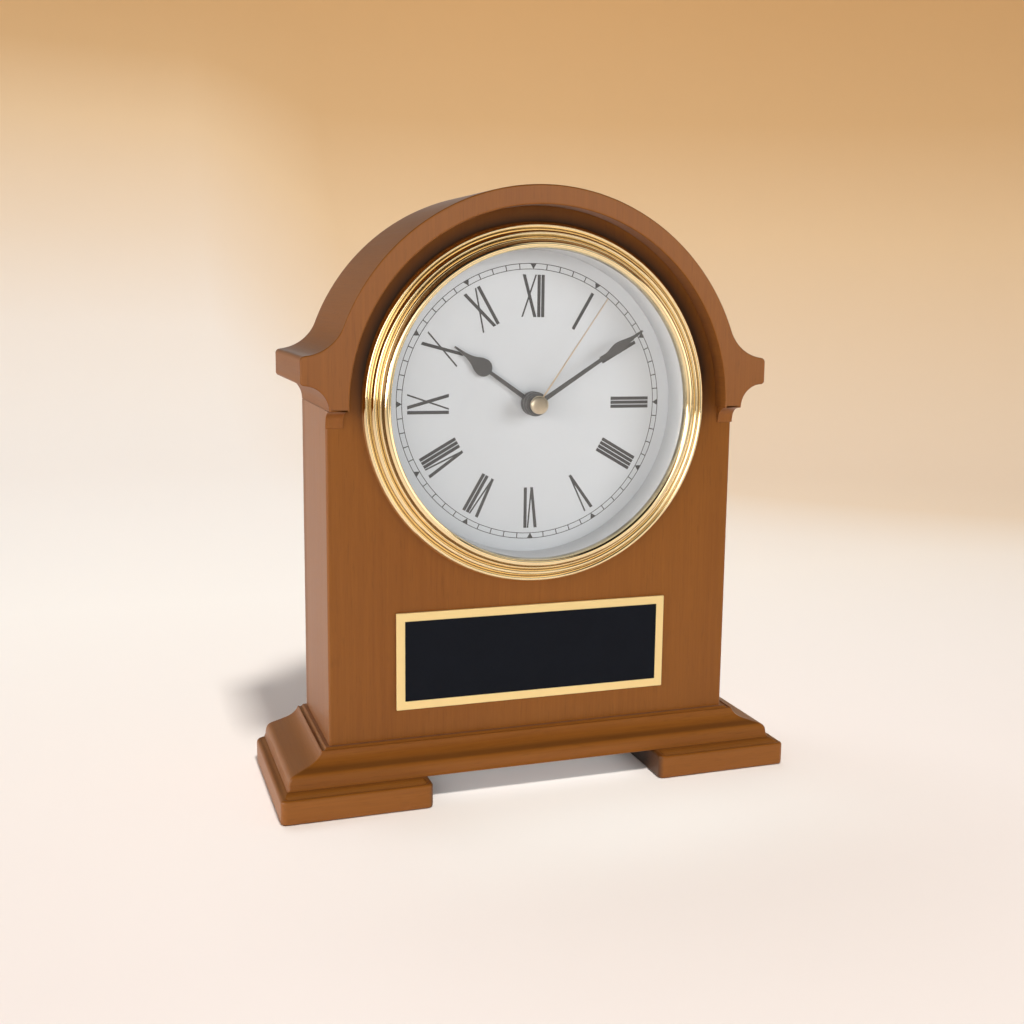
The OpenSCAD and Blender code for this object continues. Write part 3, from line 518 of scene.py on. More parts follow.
BOARD = plain("board_green", (0.02, 0.12, 0.05), 0.0, 0.3, scale=1200, var=0.15)
IRON = plain("iron_bare", (0.34, 0.34, 0.36), 1.0, 0.42, scale=900, var=0.1)
MAGNET = plain("magnet_dark", (0.12, 0.12, 0.13), 0.9, 0.35, scale=900, var=0.1)


def cell_wrap():
    """Plain wrap of the cell: a dark sleeve with a copper-coloured end."""
    t = Mat("cell_sleeve")
    x = t.xyz(t.coord())[0]
    band = t.remap(x, 0.0118, 0.0121, 0.0, 1.0)
    n = t.noise(t.scaled(t.coord(), (300, 300, 300)), 1, 2)
    dark = t.mix(n, (0.016, 0.017, 0.022), (0.024, 0.025, 0.031))
    warm = t.mix(n, (0.60, 0.30, 0.12), (0.68, 0.35, 0.15))
    can = t.remap(x, 0.0241, 0.02415, 0.0, 1.0)
    colour = t.mix(can, t.mix(band, dark, warm), (0.66, 0.66, 0.67))
    t.set(Base_Color=colour, Roughness=t.math("ADD", t.math("MULTIPLY", n, 0.1), 0.2), Metallic=t.math("MAXIMUM", t.math("MULTIPLY", band, 0.6), can))
    t.bump(n, 0.03, 0.00003)
    return t.m


def clear_glass():
    t = Mat("lens_clear")
    n = t.noise(t.scaled(t.coord(), (40, 40, 40)), 1, 1)
    t.set(Base_Color=t.mix(n, (0.86, 0.88, 0.90), (0.90, 0.92, 0.93)), Metallic=0.6, Roughness=t.math("ADD", t.math("MULTIPLY", n, 0.01), 0.03), IOR=1.5)
    clear = t.t.nodes.new("ShaderNodeBsdfTransparent")
    clear.inputs["Color"].default_value = (0.985, 0.99, 0.99, 1)
    mixs = t.t.nodes.new("ShaderNodeMixShader")
    mixs.inputs[0].default_value = 0.05
    t.t.links.new(clear.outputs[0], mixs.inputs[1])
    t.t.links.new(t.b.outputs[0], mixs.inputs[2])
    t.t.links.new(mixs.outputs[0], t.out.inputs["Surface"])
    return t.m


FINISH = {
    "foot_pads": FELT, "foot_screws": STEEL, "base_screws": STEEL, "side_left": MW["side_z"], "side_right": MW["side_z"],
    "hood_dowels": MW["pale"], "glue_blocks": MW["pale"], "back_panel": MW["back_z"], "back_screws": BRASS,
    "lens": clear_glass(), "lens_gasket": RUBBER, "dial": DIAL, "insert_cup": CUP, "clamp_brackets": STEEL,
    "bracket_screws": STEEL, "movement_case_front": BLACK, "movement_case_back": BLACK, "movement_screws": STEEL,
    "battery": cell_wrap(), "contact_pos": STEEL, "contact_neg": STEEL, "circuit_board": BOARD, "quartz_crystal": STEEL,
    "coil_bobbin": BLACK, "coil_winding": COPPER, "stator": IRON, "rotor": MAGNET, "intermediate_wheel": ACETAL,
    "second_wheel": ACETAL, "third_wheel": ACETAL, "centre_wheel": BRASS, "friction_washer": STEEL, "minute_pipe": BRASS,
    "reduction_wheel": ACETAL, "hour_wheel": ACETAL, "setting_knob": KNOB, "nameplate_tape": TAPE,
    # the nodes below are stood for by pieces made here
    "foot_left": MW["foot_x"], "foot_right": MW["foot_x"], "base_moulding": MW["base_x"], "front_panel": MW["case_z"],
    "arch_hood": MW["hood_front"], "corbel_left": MW["hood_front"], "corbel_right": MW["hood_front"], "bezel": GOLD,
    "dial_ring": WALL, "hour_hand": HAND, "minute_hand": HAND, "second_hand": GOLD_THIN, "second_cap": GOLD_GRAIN,
    "nameplate_border": GOLD_FLAT, "nameplate": BLACK_PLATE,
}
for name, ob in NODES.items():
    ob.data.materials.clear()
    ob.data.materials.append(FINISH[name])


# ------------------------------------------------------------------ wood case

def panel_loops(hole):
    s = math.degrees(math.asin((SZ - DZ) / 69.25))
    top = [(x, DZ + z, nx, nz) for x, z, nx, nz in arcp(0, 0, 69.25, s, 180 - s, 150)]
    x0 = top[0][0]
    out = [(76, BZ, 1, 0), (76, 60, 1, 0), (76, 100, 1, 0), (76, SZ, 1, 0), (75.05, SZ, 0, 1), (x0 + 0.02, SZ, 0, 1)] + top + \
          [(-x0 - 0.02, SZ, 0, 1), (-75.05, SZ, 0, 1), (-76, SZ, -1, 0), (-76, 100, -1, 0), (-76, 60, -1, 0), (-76, BZ, -1, 0), (-75.05, BZ, 0, -1), (75.05, BZ, 0, -1)]
    inner = ring_loops(70, hole)[1]
    return [out, inner]


prism("panel_front", panel_loops(58.3), 0, 12, [MW["case_z"]], r0=0.9, r1=0.05, seg=5,
      weight=lambda li, i, p: 1.0 if li == 0 and abs(p[2]) == 1 else 0.06, node="front_panel", slot="wood_case")
prism("panel_back", panel_loops(56.0), 44.02, 50, [MW["back_z"]], r0=0.05, r1=0.5, seg=4,
      weight=lambda li, i, p: 1.0 if li == 1 or abs(p[2]) == 1 else 0.1, node="back_panel", slot="wood_case")


def hood_outline():
    """Arch with an ear at each springing, heights from the dial's centre."""
    z0 = SZ - DZ
    ti = math.degrees(math.asin(z0 / 69.3))
    right = []
    # inner foot of the leg, then up the outside to the crown
    foot = outline([(69.29, z0 + 4), (69.29, z0, 0.45), (76, z0, 0.45), (76, z0 + 3)], closed=False)
    right += foot[1:-1]
    right += [(76, -0.7, 1, 0)]
    right += arcp(84.4, -0.7, 8.4, 180, 93, 22, -1)
    right += arcp(84.0, 9.0, 1.3, -90, 0, 8)
    right += [(85.3, 11.5, 1, 0), (85.3, 13.8, 1, 0)]
    right += arcp(83.75, 15.85, 1.55, 0, 90, 8)
    right += arcp(85.3, 32.8, 15.4, 264, 201.03, 26, -1)
    crown = arcp(0, 0, 76, 21.03, 158.97, 150)
    left = [(-x, z, -nx, nz) for x, z, nx, nz in right[::-1]]
    intrados = arcp(0, 0, 69.3, 180 - ti, ti, 160, -1)
    loop = right + crown[1:-1] + left + intrados
    out = []
    for p in loop:
        if out and math.hypot(p[0] - out[-1][0], p[1] - out[-1][1]) < 1e-3:
            continue
        out.append(p)
    return [(x, z + DZ, nx, nz) for x, z, nx, nz in out]


prism("hood_arch", [hood_outline()], -8, 50, [MW["hood_front"], MW["hood_wrap"]], r0=0.6, r1=0.5, seg=6,
      by_kind={0: 0, 1: 1, 2: 0}, node="arch_hood", slot="wood_hood")


def corbel(sign):
    raw = [(0.3, -6.1), (-0.35, -6.1), (-0.5, -5.9), (-0.62, -5.0), (-0.85, -4.0), (-1.15, -3.0), (-1.6, -2.3), (-2.3, -1.6),
           (-3.4, -0.95), (-4.9, -0.45), (-6.3, -0.2), (-7.3, -0.1)]
    curve = spline(raw[1:], 4)
    pts = [(0.3, -6.1), *[(a, b) for a, b in curve], (-7.3, 0.02), (0.3, 0.02)]
    loop = outline(pts, side=-1)
    loop = [(y, SZ + z, ny, nz) for y, z, ny, nz in loop]
    x0, x1 = (70.2, 76.15) if sign > 0 else (-76.15, -70.2)
    return prism("corbel_%s_shaped" % ("right" if sign > 0 else "left"), [loop], x0, x1, [MW["hood_front"]], r0=0.15, r1=0.15,
                 seg=2, axis="x", node="corbel_right" if sign > 0 else "corbel_left", slot="wood_hood")


corbel(1)
corbel(-1)

# Base: one hollow-sloped moulding carried round the front and both ends.
EDGE = [(0.025, 1.1), (0.053, 1.8), (0.123, 2.8), (0.213, 3.6), (0.32, 4.25), (0.451, 4.8), (0.59, 5.3),
        (0.73, 5.8), (0.82, 6.12), (0.885, 6.5), (0.934, 7.0), (0.971, 7.7), (0.988, 8.5), (1, 9.3)]


def moulding_profile(c, b):
    g = []
    for i in range(11):
        a = math.radians(-172 + 156 * i / 10)
        g.append((2.42 + 0.76 * math.cos(a), BZ - 0.30 + 0.50 * math.sin(a)))
    smooth = spline([(c + (b - c) * f, BZ - d) for f, d in EDGE] + [(b + 0.1, BZ - 10.1), (b + 0.3, BZ - 10.7)], 4)
    pts = [(-6, BZ), (-0.1, BZ), (1.35, BZ - 0.03, 0.35), (g[0][0], g[0][1], 0.1)] + g[1:-1] + [(g[-1][0], g[-1][1], 0.1), (c + 0.02, BZ - 0.60, 0.35)] + smooth + \
          [(b + 0.7, 9.0, 0.3), (b - 6, 9.0)]
    return outline(pts, closed=False, side=-1, n=4)


def base_piece():
    front, side = moulding_profile(3.3, 9.9), moulding_profile(3.3, 15.5)
    assert len(front) == len(side)
    hx, yb, nc = 76.0, 50.0, 8
    verts, norms, rows = [], [], []
    for (fo, fz, fn, fnz), (so, sz, sn, snz) in zip(front, side):
        r = 0.45 if fo < 3.6 else min(0.85, 0.45 + (fo - 3.6) * 0.15)
        line = [(-(hx + so), yb, sz, -sn, 0, snz), (-(hx + so), 18.0, sz, -sn, 0, snz)]
        for i in range(nc + 1):
            t = i / nc
            a = PI + t * PI / 2
            n = sn + (fn - sn) * t
            line.append((-(hx + so) + r + r * math.cos(a), -fo + r + r * math.sin(a), sz + (fz - sz) * t,
                         math.cos(a) * n, math.sin(a) * n, snz + (fnz - snz) * t))
        line += [(-x, y, z, -nx, ny, nz) for x, y, z, nx, ny, nz in line[::-1]]
        rows.append(range(len(verts), len(verts) + len(line)))
        verts += [p[:3] for p in line]
        norms += [p[3:] for p in line]
    faces, fmat, flat = [], [], {}
    m = len(rows[0])
    half = 2 + nc // 2
    for a, b in zip(rows, rows[1:]):
        for i in range(m - 1):
            faces.append([a[i], a[i + 1], b[i + 1], b[i]])
            fmat.append(0 if half <= i < m - 1 - half else 1)
    rim = [r[0] for r in rows] + [r[m - 1] for r in rows[::-1]]
    caps = [(rim, (0, 1, 0), (0, 2)), (list(rows[0]), (0, 0, 1), (0, 1)), (list(rows[-1]), (0, 0, -1), (0, 1))]
    for ids, n, (p, q) in caps:
        for tri in geometry.tessellate_polygon([[Vector((verts[i][p], verts[i][q], 0)) for i in ids]]):
            flat[len(faces)] = n
            faces.append([ids[i] for i in tri])
            fmat.append(0)
    build("base_board", verts, norms, faces, [MW["base_x"], MW["base_y"]], fmat, flat, node="base_moulding", slot="wood_base")


base_piece()


def foot_piece(sign):
    """A foot as a stack of rounded rectangles; every edge has its own profile."""
    zb, zt = 0.12, 9.0

    def prof(pts):
        return outline(pts, closed=False, side=1, n=4)
    n_arc = 6

    def both(low, vert, high):
        return low + vert + high

    def arc_pts(cx, cz, r, a0, a1):
        return arcp(cx, cz, r, a0, a1, n_arc)
    # each profile is (offset outwards, height, normal out, normal up), level by level
    F = both(arc_pts(16.7, zb + 0.8, 0.8, -90, 0), [(17.5, 4.5, 1, 0)], arc_pts(16.7, 7.85, 0.8, 0, 90))
    F += [(16.35, 8.62, -0.15, 1), (16.1, 8.40, -0.7, 0.7), (15.95, 8.25, 0.0, 1), (15.8, 8.40, 0.7, 0.7), (15.55, 8.60, 0.9, 0.45),
          (14.5, 8.64, 0.9, 0.45), (13.0, 8.71, 0.7, 0.7), (11.9, 8.80, 0.3, 0.95), (11.2, 8.90, 0.2, 1), (10.5, 9.0, 0.1, 1), (6.0, 9.0, 0, 1)]
    E = both(arc_pts(95.1 - 0.8, zb + 0.8, 0.8, -90, 0), [(95.1, 4.5, 1, 0)], arc_pts(95.1 - 1.3, zt - 1.65, 1.3, 0, 86))
    E += [(93.8, 8.653, 0.06, 1), (93.7, 8.656, 0.06, 1), (93.6, 8.66, 0.07, 1), (93.5, 8.67, 0.08, 1), (93.4, 8.68, 0.1, 1),
          (93.2, 8.71, 0.15, 1), (92.9, 8.78, 0.3, 1), (92.6, 8.87, 0.4, 1), (92.3, 8.95, 0.3, 1), (92.0, 9.0, 0.1, 1), (86.0, 9.0, 0, 1)]
    I = both(arc_pts(-43 - 0.8, zb + 0.8, 0.8, -90, 0), [(-43, 4.5, 1, 0)], arc_pts(-43 - 1.3, zt - 1.3, 1.3, 0, 90))
    I += [(-44.35 - 0.1 * k, 9.0, 0, 1) for k in range(10)] + [(-50, 9.0, 0, 1)]
    B = both(arc_pts(50 - 0.8, zb + 0.8, 0.8, -90, 0), [(50, 4.5, 1, 0)], arc_pts(50 - 0.6, zt - 0.6, 0.6, 0, 90))
    B += [(49.35 - 0.1 * k, 9.0, 0, 1) for k in range(10)] + [(44, 9.0, 0, 1)]
    assert len(F) == len(E) == len(I) == len(B)
    verts, norms, rows, nc = [], [], [], 7
    for k, (f, e, q, b) in enumerate(zip(F, E, I, B)):
        r = max(0.35, 2.2 - (17.5 - f[0]) * (1.0 if k < 16 else 0.5))
        # corners in order: front inner, front outer, back outer, back inner
        xi, xo, yf, yk = -q[0], e[0], -f[0], b[0]
        corner = [((xi + r, yf + r), 180, q, f), ((xo - r, yf + r), 270, f, e), ((xo - r, yk - r), 0, e, b), ((xi + r, yk - r), 90, b, q)]
        line = []
        for (cx, cy), a0, p, s in corner:
            for i in range(nc + 1):
                t = i / nc
                a = math.radians(a0 + 90 * t)
                nn = p[2] + (s[2] - p[2]) * t
                line.append((cx + r * math.cos(a), cy + r * math.sin(a), p[1] + (s[1] - p[1]) * t,
                             math.cos(a) * nn, math.sin(a) * nn, p[3] + (s[3] - p[3]) * t))
        if sign < 0:
            line = [(-x, y, z, -nx, ny, nz) for x, y, z, nx, ny, nz in line]
        rows.append(range(len(verts), len(verts) + len(line)))
        verts += [p[:3] for p in line]
        norms += [p[3:] for p in line]
    faces, flat = [], {}
    m = len(rows[0])
    for a, b in zip(rows, rows[1:]):
        for i in range(m):
            j = (i + 1) % m
            faces.append([a[i], a[j], b[j], b[i]])
    for line, n in ((rows[0], (0, 0, -1)), (rows[-1], (0, 0, 1))):
        flat[len(faces)] = n
        faces.append(list(line))
    side = "right" if sign > 0 else "left"
    build("foot_slab_" + side, verts, norms, faces, [MW["foot_x"]], None, flat, node="foot_" + side, slot="wood_base")


foot_piece(1)
foot_piece(-1)


# ------------------------------------------------------------------ insert

def bead(a, b, h, g, k, n=14):
    return [(a + (b - a) * i / n, h + (g - h) * i / n + k * math.sin(PI * i / n)) for i in range(n + 1)]


def bezel_profile():
    pts = [(56.45, -5), (56.45, 0), (63.9, 0)]
    pts += bead(64, 61.72, 0.3, 1.52, 0.95) + [(61.6, 1.2)] + bead(61.48, 59.02, 1.55, 2.85, 1.1) + [(58.9, 2.55)] + bead(58.78, 57.38, 2.95, 3.5, 0.85, 10) + [(57.28, 3.25)]
    pts += [(56.05 + 1.25 * math.cos(math.radians(a)), 4.75 + 1.25 * math.sin(math.radians(a))) for a in range(-8, 181, 9)]
    pts += [(54.8, 2.45), (55.65, 2.45), (55.65, -5)]
    flat = []
    for r, h in pts:
        if not flat or math.hypot(r - flat[-1][0], h - flat[-1][1]) > 0.02:
            flat.append((r, h))
    return [(r, -h, nr, -nh) for r, h, nr, nh in outline(flat, side=1)]


revolve("bezel_turned", bezel_profile(), [GOLD], n=360, node="bezel", slot="bezel_brass")
wall = outline([(54.5, -10.0), (55.5, -10.0), (55.5, 2.1), (54.9, 2.1, 0.2)], side=1)
revolve("dial_wall_turned", [(r, -h, nr, -nh) for r, h, nr, nh in wall], [WALL], n=256, node="dial_ring", slot="dial_wall")


# Printing on the dial: minute track, five-minute marks and hour numerals.
INK_Y0, INK_Y1 = 9.955, 10.03


def stroke(u0, u1, v1, w0, w1, v0):
    """A straight stroke: from [u0, u1] at height v1 (top) to [w0, w1] at v0."""
    return [(w0, v0), (w1, v0), (u1, v1), (u0, v1)]


def letter(ch):
    b, t = 30.85, 45.85
    if ch == "I":
        return 1.2, [stroke(0, 1.2, t, 0, 1.2, b)]
    if ch == "X":
        return 5.7, [stroke(0.30, 1.50, t, 4.50, 5.70, b), stroke(5.10, 5.70, t, 0.0, 0.6, b)]
    return 3.85, [stroke(0, 1.2, t, 1.66, 2.72, b), stroke(3.27, 3.85, t, 1.98, 2.56, b)]


def print_dial():
    verts, norms, faces = [], [], []

    def add(loops, y0=INK_Y0):
        v, n, f, _ = prism_parts(loops, y0, INK_Y1, 0.008, 0.008, 1, "y", None, len(verts))
        verts.extend(v)
        norms.extend(n)
        faces.extend(f)
    for r in (49.75, 47.8):
        add(ring_loops(r + 0.12, r - 0.12, 300))
    for i in range(60):
        a = 6 * i
        if i % 5:
            add([spin(outline([(-0.17, 47.85), (0.17, 47.85), (0.17, 49.7), (-0.17, 49.7)]), a)], INK_Y0 + 0.003)
        else:
            add([spin(outline([(-1.15, 49.73), (0, 47.75), (1.15, 49.73)]), a)], INK_Y0 + 0.003)
    names = ["XII", "I", "II", "III", "IIII", "V", "VI", "VII", "VIII", "IX", "X", "XI"]
    for i, text in enumerate(names):
        shapes, x = [], 0.0
        for k, ch in enumerate(text):
            if k:
                pair = text[k - 1] + ch
                x += 0.28 if pair == "II" else (0.12 if pair[0] == "V" else 0.25)
            w, polys = letter(ch)
            for p in polys:
                shapes.append([(u + x, v) for u, v in p])
            x += w
        for k, p in enumerate(shapes):
            add([spin(outline([(u - x / 2, v) for u, v in p]), 30 * i)], INK_Y0 + 0.002 * (k % 3))
    build("dial_printing", verts, norms, faces, [INK], slot="dial_face")


print_dial()

# Hands, drawn pointing up and turned to where the photograph shows them.


def mirrored(right):
    """Closed outline from its right half, listed from the bottom up."""
    return [(x, z) for x, z in right] + [(-x, z) for x, z in right[::-1]]


def hour_outline():
    a0 = math.degrees(math.atan2(0.78, 3.7))
    pear = [(3.2 * math.cos(math.radians(a)), 22.6 + 3.2 * math.sin(math.radians(a))) for a in range(-76, 9, 7)]
    taper = spline([(3.15, 23.1), (2.7, 24.9), (1.6, 27.0), (0.9, 29.2), (0.5, 32.0), (0.35, 35.4)], 5)
    right = [(0.8, 3.65), (0.65, 19.4)] + pear + taper[1:]
    boss = [(3.78 * math.cos(math.radians(a)), 3.78 * math.sin(math.radians(a))) for a in range(100, 441, 10)]
    boss = [p for p in boss if not (p[1] > 3.0 and abs(p[0]) < 0.95)]
    return outline([(-x, z) for x, z in right[::-1]] + boss + right)


def ring_hole(r, n=64):
    return [(r * math.cos(2 * PI * i / n), r * math.sin(2 * PI * i / n), -math.cos(2 * PI * i / n), -math.sin(2 * PI * i / n)) for i in range(n)][::-1]


def minute_outline():
    half = [(0.84, 3.4), (0.70, 30.0), (0.8, 31.4), (1.0, 32.4), (1.38, 33.8), (1.75, 35.2), (1.98, 36.4), (2.0, 37.1), (1.85, 38.3), (1.5, 39.9),
            (1.15, 41.3), (0.85, 42.7), (0.6, 44.2), (0.48, 46.2), (0.38, 48.3)]
    right = [half[0], half[1]] + spline(half[1:], 4)[1:]
    boss = [(3.5 * math.cos(math.radians(a)), 3.5 * math.sin(math.radians(a))) for a in range(104, 437, 9)]
    boss = [p for p in boss if not (p[1] > 2.8 and abs(p[0]) < 1.0)]
    return outline([(-x, z) for x, z in right[::-1]] + boss + right)


prism("hand_hour_blade", [spin(hour_outline(), HOUR_DEG), spin(ring_hole(3.1), 0)], 8.5, 9.0, [HAND], r0=0.08, r1=0.05, seg=2,
      body="hour", node="hour_hand", slot="hand_dark")
boss = outline([(2.6, -9.2), (4.4, -9.2, 0.1), (4.4, -8.0, 0.25), (4.05, -7.9, 0.15), (4.05, -7.5, 0.15), (2.6, -7.5, 0.1)], side=1)
revolve("hand_hour_boss", [(r, -h, nr, -nh) for r, h, nr, nh in boss], [HAND], n=128, body="hour", slot="hand_dark")
prism("hand_minute_blade", [spin(minute_outline(), MINUTE_DEG), spin(ring_hole(2.4), 0)], 3.5, 3.9, [HAND], r0=0.08, r1=0.05, seg=2,
      body="minute", node="minute_hand", slot="hand_dark")
collar = outline([(1.7, -6.9), (4.4, -6.9, 0.1), (4.4, -5.1, 0.3), (4.05, -5.0, 0.15), (4.05, -3.3, 0.3), (1.7, -3.3, 0.1)], side=1)
revolve("hand_minute_collar", [(r, -h, nr, -nh) for r, h, nr, nh in collar], [HAND], n=128, body="minute", slot="hand_dark")
needle = outline([(-0.28, 0.0), (0.28, 0.0), (0.14, 46.0), (-0.14, 46.0)])
prism("hand_second_needle", [spin(needle, SECOND_DEG)], 2.45, 2.7, [GOLD_THIN], r0=0.05, r1=0.05, seg=2,
      body="second", node="second_hand", slot="hand_gold")
hub = outline([(0.45, -2.85), (1.3, -2.85, 0.1), (1.3, -2.32), (0.45, -2.32)], side=1)
revolve("hand_second_hub", [(r, -h, nr, -nh) for r, h, nr, nh in hub], [GOLD_THIN], n=48, body="second", slot="hand_gold")
dome = [(0.0, -2.29), (2.9, -2.29, 0.1), (3.25, -1.9, 0.1), (3.25, -0.85)]
dome += [(3.25 * math.cos(math.radians(a)) ** 0.6, -0.85 + 0.85 * math.sin(math.radians(a))) for a in range(8, 89, 8)] + [(0.0, 0.0)]
revolve("hand_second_cap", [(r, -h, nr, -nh) for r, h, nr, nh in outline(dome, side=1)], [GOLD_GRAIN], n=96, body="second",
        node="second_cap", slot="hand_gold")


# ------------------------------------------------------------------ name plate

def rect(w, h, r):
    cx, cz = -1.2, 30.9 + 17.6
    return outline([(cx - w / 2, cz - h / 2, r), (cx + w / 2, cz - h / 2, r), (cx + w / 2, cz + h / 2, r), (cx - w / 2, cz + h / 2, r)], n=4)


prism("plate_border", [rect(102.4, 35.2, 0.35)], -0.95, -0.2, [GOLD_FLAT], r0=0.12, r1=0.06, seg=3, node="nameplate_border", slot="plate_gold")
prism("plate_field", [rect(96.2, 29.0, 0.2)], -1.15, -0.945, [BLACK_PLATE], r0=0.08, r1=0.02, seg=3, node="nameplate", slot="plate_black")


# Edges of the plain CAD solids that show at the back are eased.
def eased(names, width):
    for n in names:
        ob = NODES[n]
        w = ob.modifiers.new("weld", "WELD")
        w.merge_threshold = 1e-6
        b = ob.modifiers.new("ease", "BEVEL")
        b.width = width
        b.segments = 2
        b.limit_method = "ANGLE"
        b.angle_limit = math.radians(50)
        b.harden_normals = True


eased(["movement_case_front", "movement_case_back"], 0.0003)
eased(["clamp_brackets", "insert_cup"], 0.00015)


# ------------------------------------------------------------------ stage

def stage_bowl():
    """Floor that turns up into a wall all round, in one sweep."""
    prof = [(0.0, 0.0), (0.25, 0.0), (0.5, 0.0), (0.75, 0.0), (0.9, 0.0)]
    prof += [(0.9 + 0.6 * math.sin(math.radians(a)), 0.6 - 0.6 * math.cos(math.radians(a))) for a in range(6, 91, 6)]
    prof += [(1.5, 0.8), (1.5, 1.0)]
    n = 96
    verts, faces = [(0, 0, 0)], []
    for r, z in prof[1:]:
        for i in range(n):
            verts.append((r * math.cos(2 * PI * i / n), r * math.sin(2 * PI * i / n), z))
    for i in range(n):
        faces.append([0, 1 + i, 1 + (i + 1) % n])
    for k in range(len(prof) - 2):
        a, b = 1 + k * n, 1 + (k + 1) * n
        for i in range(n):
            j = (i + 1) % n
            faces.append([a + i, b + i, b + j, a + j])
    me = bpy.data.meshes.new("studio_sweep")
    me.from_pydata(verts, [], faces, shade_flat=False)
    me.update()
    t = Mat("studio_paper")
    x, y, z = (t.xyz(t.coord())[i] for i in range(3))
    side = t.math("MULTIPLY", t.remap(t.math("MULTIPLY", x, y), 0.0, 0.25, 0.0, 0.25), t.remap(z, 0.0, 0.60, 1.0, 0.0))
    colour = t.ramp(t.remap(t.math("ADD", z, side), 0.0, 0.60, 0.0, 1.0), [
        (0.0, (0.95, 0.915, 0.86)), (0.217, (0.925, 0.85, 0.757)), (0.433, (0.867, 0.713, 0.54)),
        (0.667, (0.80, 0.585, 0.355)), (0.833, (0.67, 0.43, 0.21)), (1.0, (0.62, 0.375, 0.165))], smooth=False)
    fore = t.math("MULTIPLY", t.remap(y, -0.12, 0.30, 1.0, 0.0), t.remap(z, 0.0, 0.1, 1.0, 0.0))
    colour = t.mix(fore, colour, (0.825, 0.755, 0.715))
    # painted shade: the paper is darkened to grey behind the camera, where the studio is unlit
    near = t.math("ADD", t.math("MULTIPLY", y, -0.93), t.math("MULTIPLY", x, 0.37))
    near = t.math("ADD", near, t.math("MULTIPLY", z, 0.4))
    dark = t.remap(near, 0.32, 0.85, 0.0, 1.0)
    colour = t.mix(dark, colour, (0.34, 0.33, 0.315))
    n1 = t.noise(t.scaled(t.coord(), (900, 900, 900)), 1, 2)
    t.set(Base_Color=t.mix(t.math("MULTIPLY", n1, 0.03), colour, (0.8, 0.75, 0.7)), Roughness=0.9)
    t.set(Specular_IOR_Level=0.1)
    me.materials.append(t.m)
    ob = bpy.data.objects.new("studio_sweep", me)
    bpy.context.scene.collection.objects.link(ob)
    return ob


SWEEP = stage_bowl()


def linked(name, state):
    """A group holding the paper sweep, which a light takes in or leaves out."""
    c = bpy.data.collections.new(name)
    c.objects.link(SWEEP)
    for entry in c.collection_objects:
        entry.light_linking.link_state = state
    return c


ON_PAPER = linked("lights_for_paper", "INCLUDE")
ON_CLOCK = linked("lights_for_clock", "EXCLUDE")


def only_on(name, *pieces):
    c = bpy.data.collections.new(name)
    for n in pieces:
        c.objects.link(bpy.data.objects[n])
    for entry in c.collection_objects:
        entry.light_linking.link_state = "INCLUDE"
    return c


ON_BEZEL = only_on("lights_for_bezel", "bezel_turned")
ON_FACE = only_on("lights_for_hood", "hood_arch", "corbel_left_shaped", "corbel_right_shaped")


def area(name, where, target, size, power, colour=(1, 1, 1), size_y=None, only=None, glossy=True, diffuse=True):
    li = bpy.data.lights.new(name, "AREA")
    li.shape = "RECTANGLE"
    li.size = size
    li.size_y = size_y or size
    li.energy = power
    li.color = colour
    ob = bpy.data.objects.new(name, li)
    bpy.context.scene.collection.objects.link(ob)
    d = (Vector(target) - Vector(where)).normalized()
    ob.location = where
    ob.rotation_euler = d.to_track_quat("-Z", "Y").to_euler()
    ob.visible_camera = False
    ob.visible_glossy = glossy
    ob.visible_diffuse = diffuse
    if only:
        ob.light_linking.receiver_collection = only
    return ob


area("paper_key", (-0.03, -0.81, 1.44), (0, 0.05, 0.05), 0.17, 23.0, (1.0, 0.97, 0.93), 0.22, ON_PAPER)
area("paper_back", (-0.25, 0.80, 1.30), (-0.1, 0.45, 0.0), 0.9, 8.5, (0.82, 0.895, 1.0), 0.9, ON_PAPER)
area("paper_wall", (0.45, 0.75, 0.85), (0.85, 1.05, 0.10), 1.0, 1.3, (1.0, 0.985, 0.96), 0.3, ON_PAPER)
area("paper_under", (0, -0.012, 0.0085), (0, -0.012, 0), 0.078, 0.0034, (0.82, 0.93, 1.0), 0.030, ON_PAPER)
area("paper_fore", (0.02, -0.068, 0.05), (0.02, -0.068, 0), 0.15, 0.0143, (0.67, 0.906, 1.0), 0.03, ON_PAPER, False)
area("front_left", (-0.60, -0.92, 0.32), (0, 0, 0.10), 1.0, 4.0, (0.97, 0.985, 1.0), 0.45, ON_CLOCK)
area("front_right", (0.80, -0.85, 0.45), (0, 0, 0.10), 0.6, 7.1, (0.97, 0.985, 1.0), 0.6, ON_CLOCK, False)
area("left_side", (-1.10, -0.15, 0.25), (0, 0, 0.10), 0.7, 7.0, (0.97, 0.985, 1.0), 0.4, ON_CLOCK)
area("right_card", (1.15, 0.10, 0.55), (0, 0, 0.13), 0.9, 3.0, (1.0, 0.985, 0.96), 0.9, ON_CLOCK, False)
area("bezel_right", (1.05, -0.05, 0.34), (0, 0, 0.14), 1.6, 5.6, (1.0, 0.95, 0.90), 0.8, ON_BEZEL)
area("bezel_left", (-1.00, -0.45, 0.25), (0, 0, 0.14), 1.0, 1.7, (1.0, 0.95, 0.90), 0.6, ON_BEZEL)
area("bezel_front", (0.48, -0.98, 0.17), (0, 0, 0.14), 1.1, 1.25, (1.0, 0.95, 0.90), 0.34, ON_BEZEL)
area("bezel_top", (0.50, -0.62, 0.95), (0, 0, 0.14), 0.7, 0.82, (1.0, 0.95, 0.90), 0.5, ON_BEZEL)
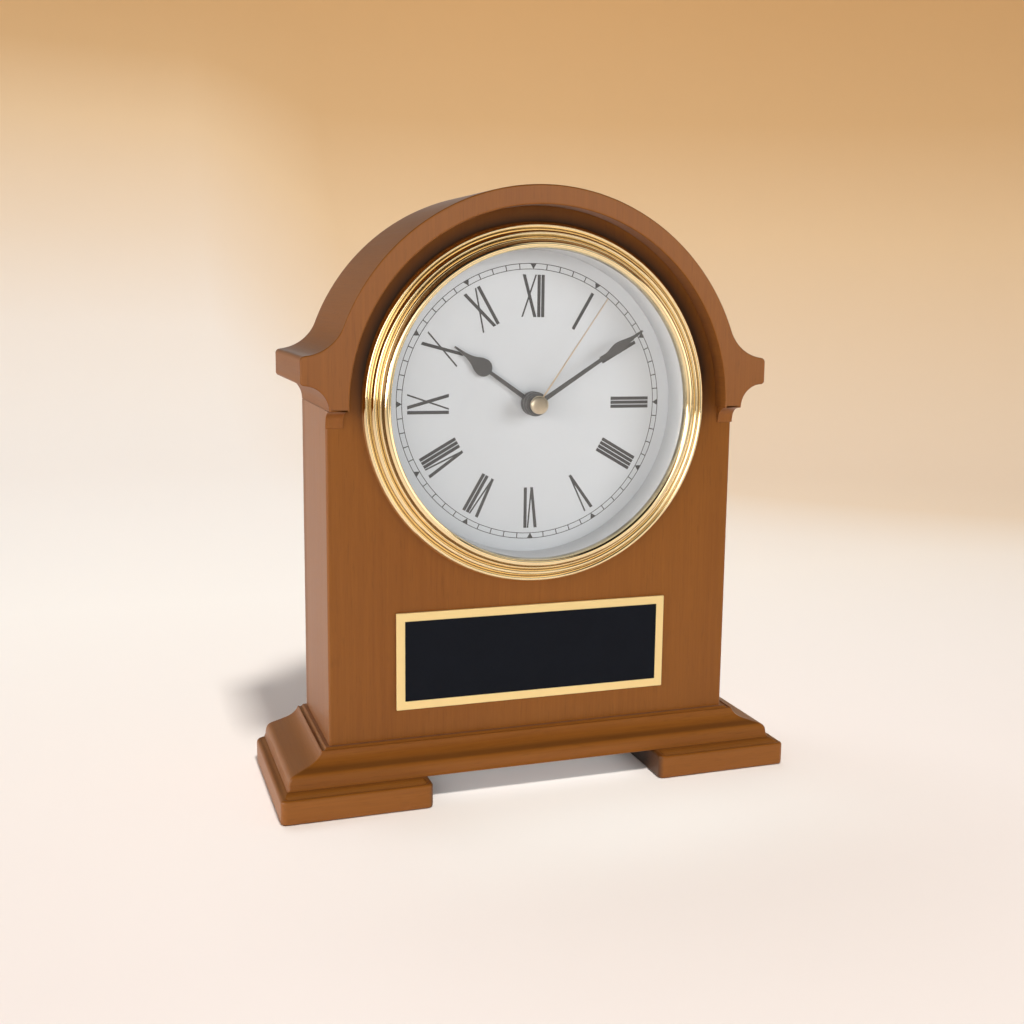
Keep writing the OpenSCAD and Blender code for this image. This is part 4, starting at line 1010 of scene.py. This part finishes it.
area("hood_sheen", (0.40, -1.08, 0.38), (0.05, 0, 0.17), 1.3, 5.6, (0.90, 0.96, 1.0), 0.5, ON_FACE, True, False)

world = bpy.data.worlds.new("studio_air")
bpy.context.scene.world = world
world.use_nodes = True
wt = world.node_tree
bg = wt.nodes["Background"]
bg.inputs["Color"].default_value = (0.97, 0.985, 1.0, 1)
# softer sky to the right and the back, a dark ceiling above the camera's left
tc = wt.nodes.new("ShaderNodeTexCoord")
dot = wt.nodes.new("ShaderNodeVectorMath")
dot.operation = "DOT_PRODUCT"
dot.inputs[1].default_value = Vector((-0.42, -0.52, 0.745)).normalized()
wt.links.new(tc.outputs["Generated"], dot.inputs[0])
mr = wt.nodes.new("ShaderNodeMapRange")
mr.interpolation_type = "SMOOTHSTEP"
for key, val in zip(("From Min", "From Max", "To Min", "To Max"), (0.15, 0.85, 0.05, 0.02)):
    mr.inputs[key].default_value = val
wt.links.new(dot.outputs["Value"], mr.inputs["Value"])
wt.links.new(mr.outputs[0], bg.inputs["Strength"])

view = bpy.context.scene.view_settings
view.view_transform = "Standard"
view.look = "None"
view.exposure = 0.0
view.gamma = 1.0

# ------------------------------------------------------------------ camera
YAW, PITCH, ROLL, FOCAL = 0.379, -0.162, 0.022, 1289.169
fwd = Vector((math.sin(YAW) * math.cos(PITCH), math.cos(YAW) * math.cos(PITCH), math.sin(PITCH)))
right = Vector((math.cos(YAW), -math.sin(YAW), 0))
up = right.cross(fwd)
rx = math.cos(ROLL) * right + math.sin(ROLL) * up
ux = -math.sin(ROLL) * right + math.cos(ROLL) * up
cam = bpy.data.cameras.new("view_camera")
cam.sensor_width = 36.0
cam.lens = FOCAL / 1024 * 36.0
cam.shift_x = (512 - 598.525) / 1024
cam.shift_y = (508.093 - 512) / 1024
cam.clip_start = 0.01
cam.clip_end = 20.0
eye = bpy.data.objects.new("view_camera", cam)
bpy.context.scene.collection.objects.link(eye)
m = Matrix((rx, ux, -fwd)).transposed().to_4x4()
m.translation = Vector((-0.149568, -0.449593, 0.176632))
eye.matrix_world = m
bpy.context.scene.camera = eye
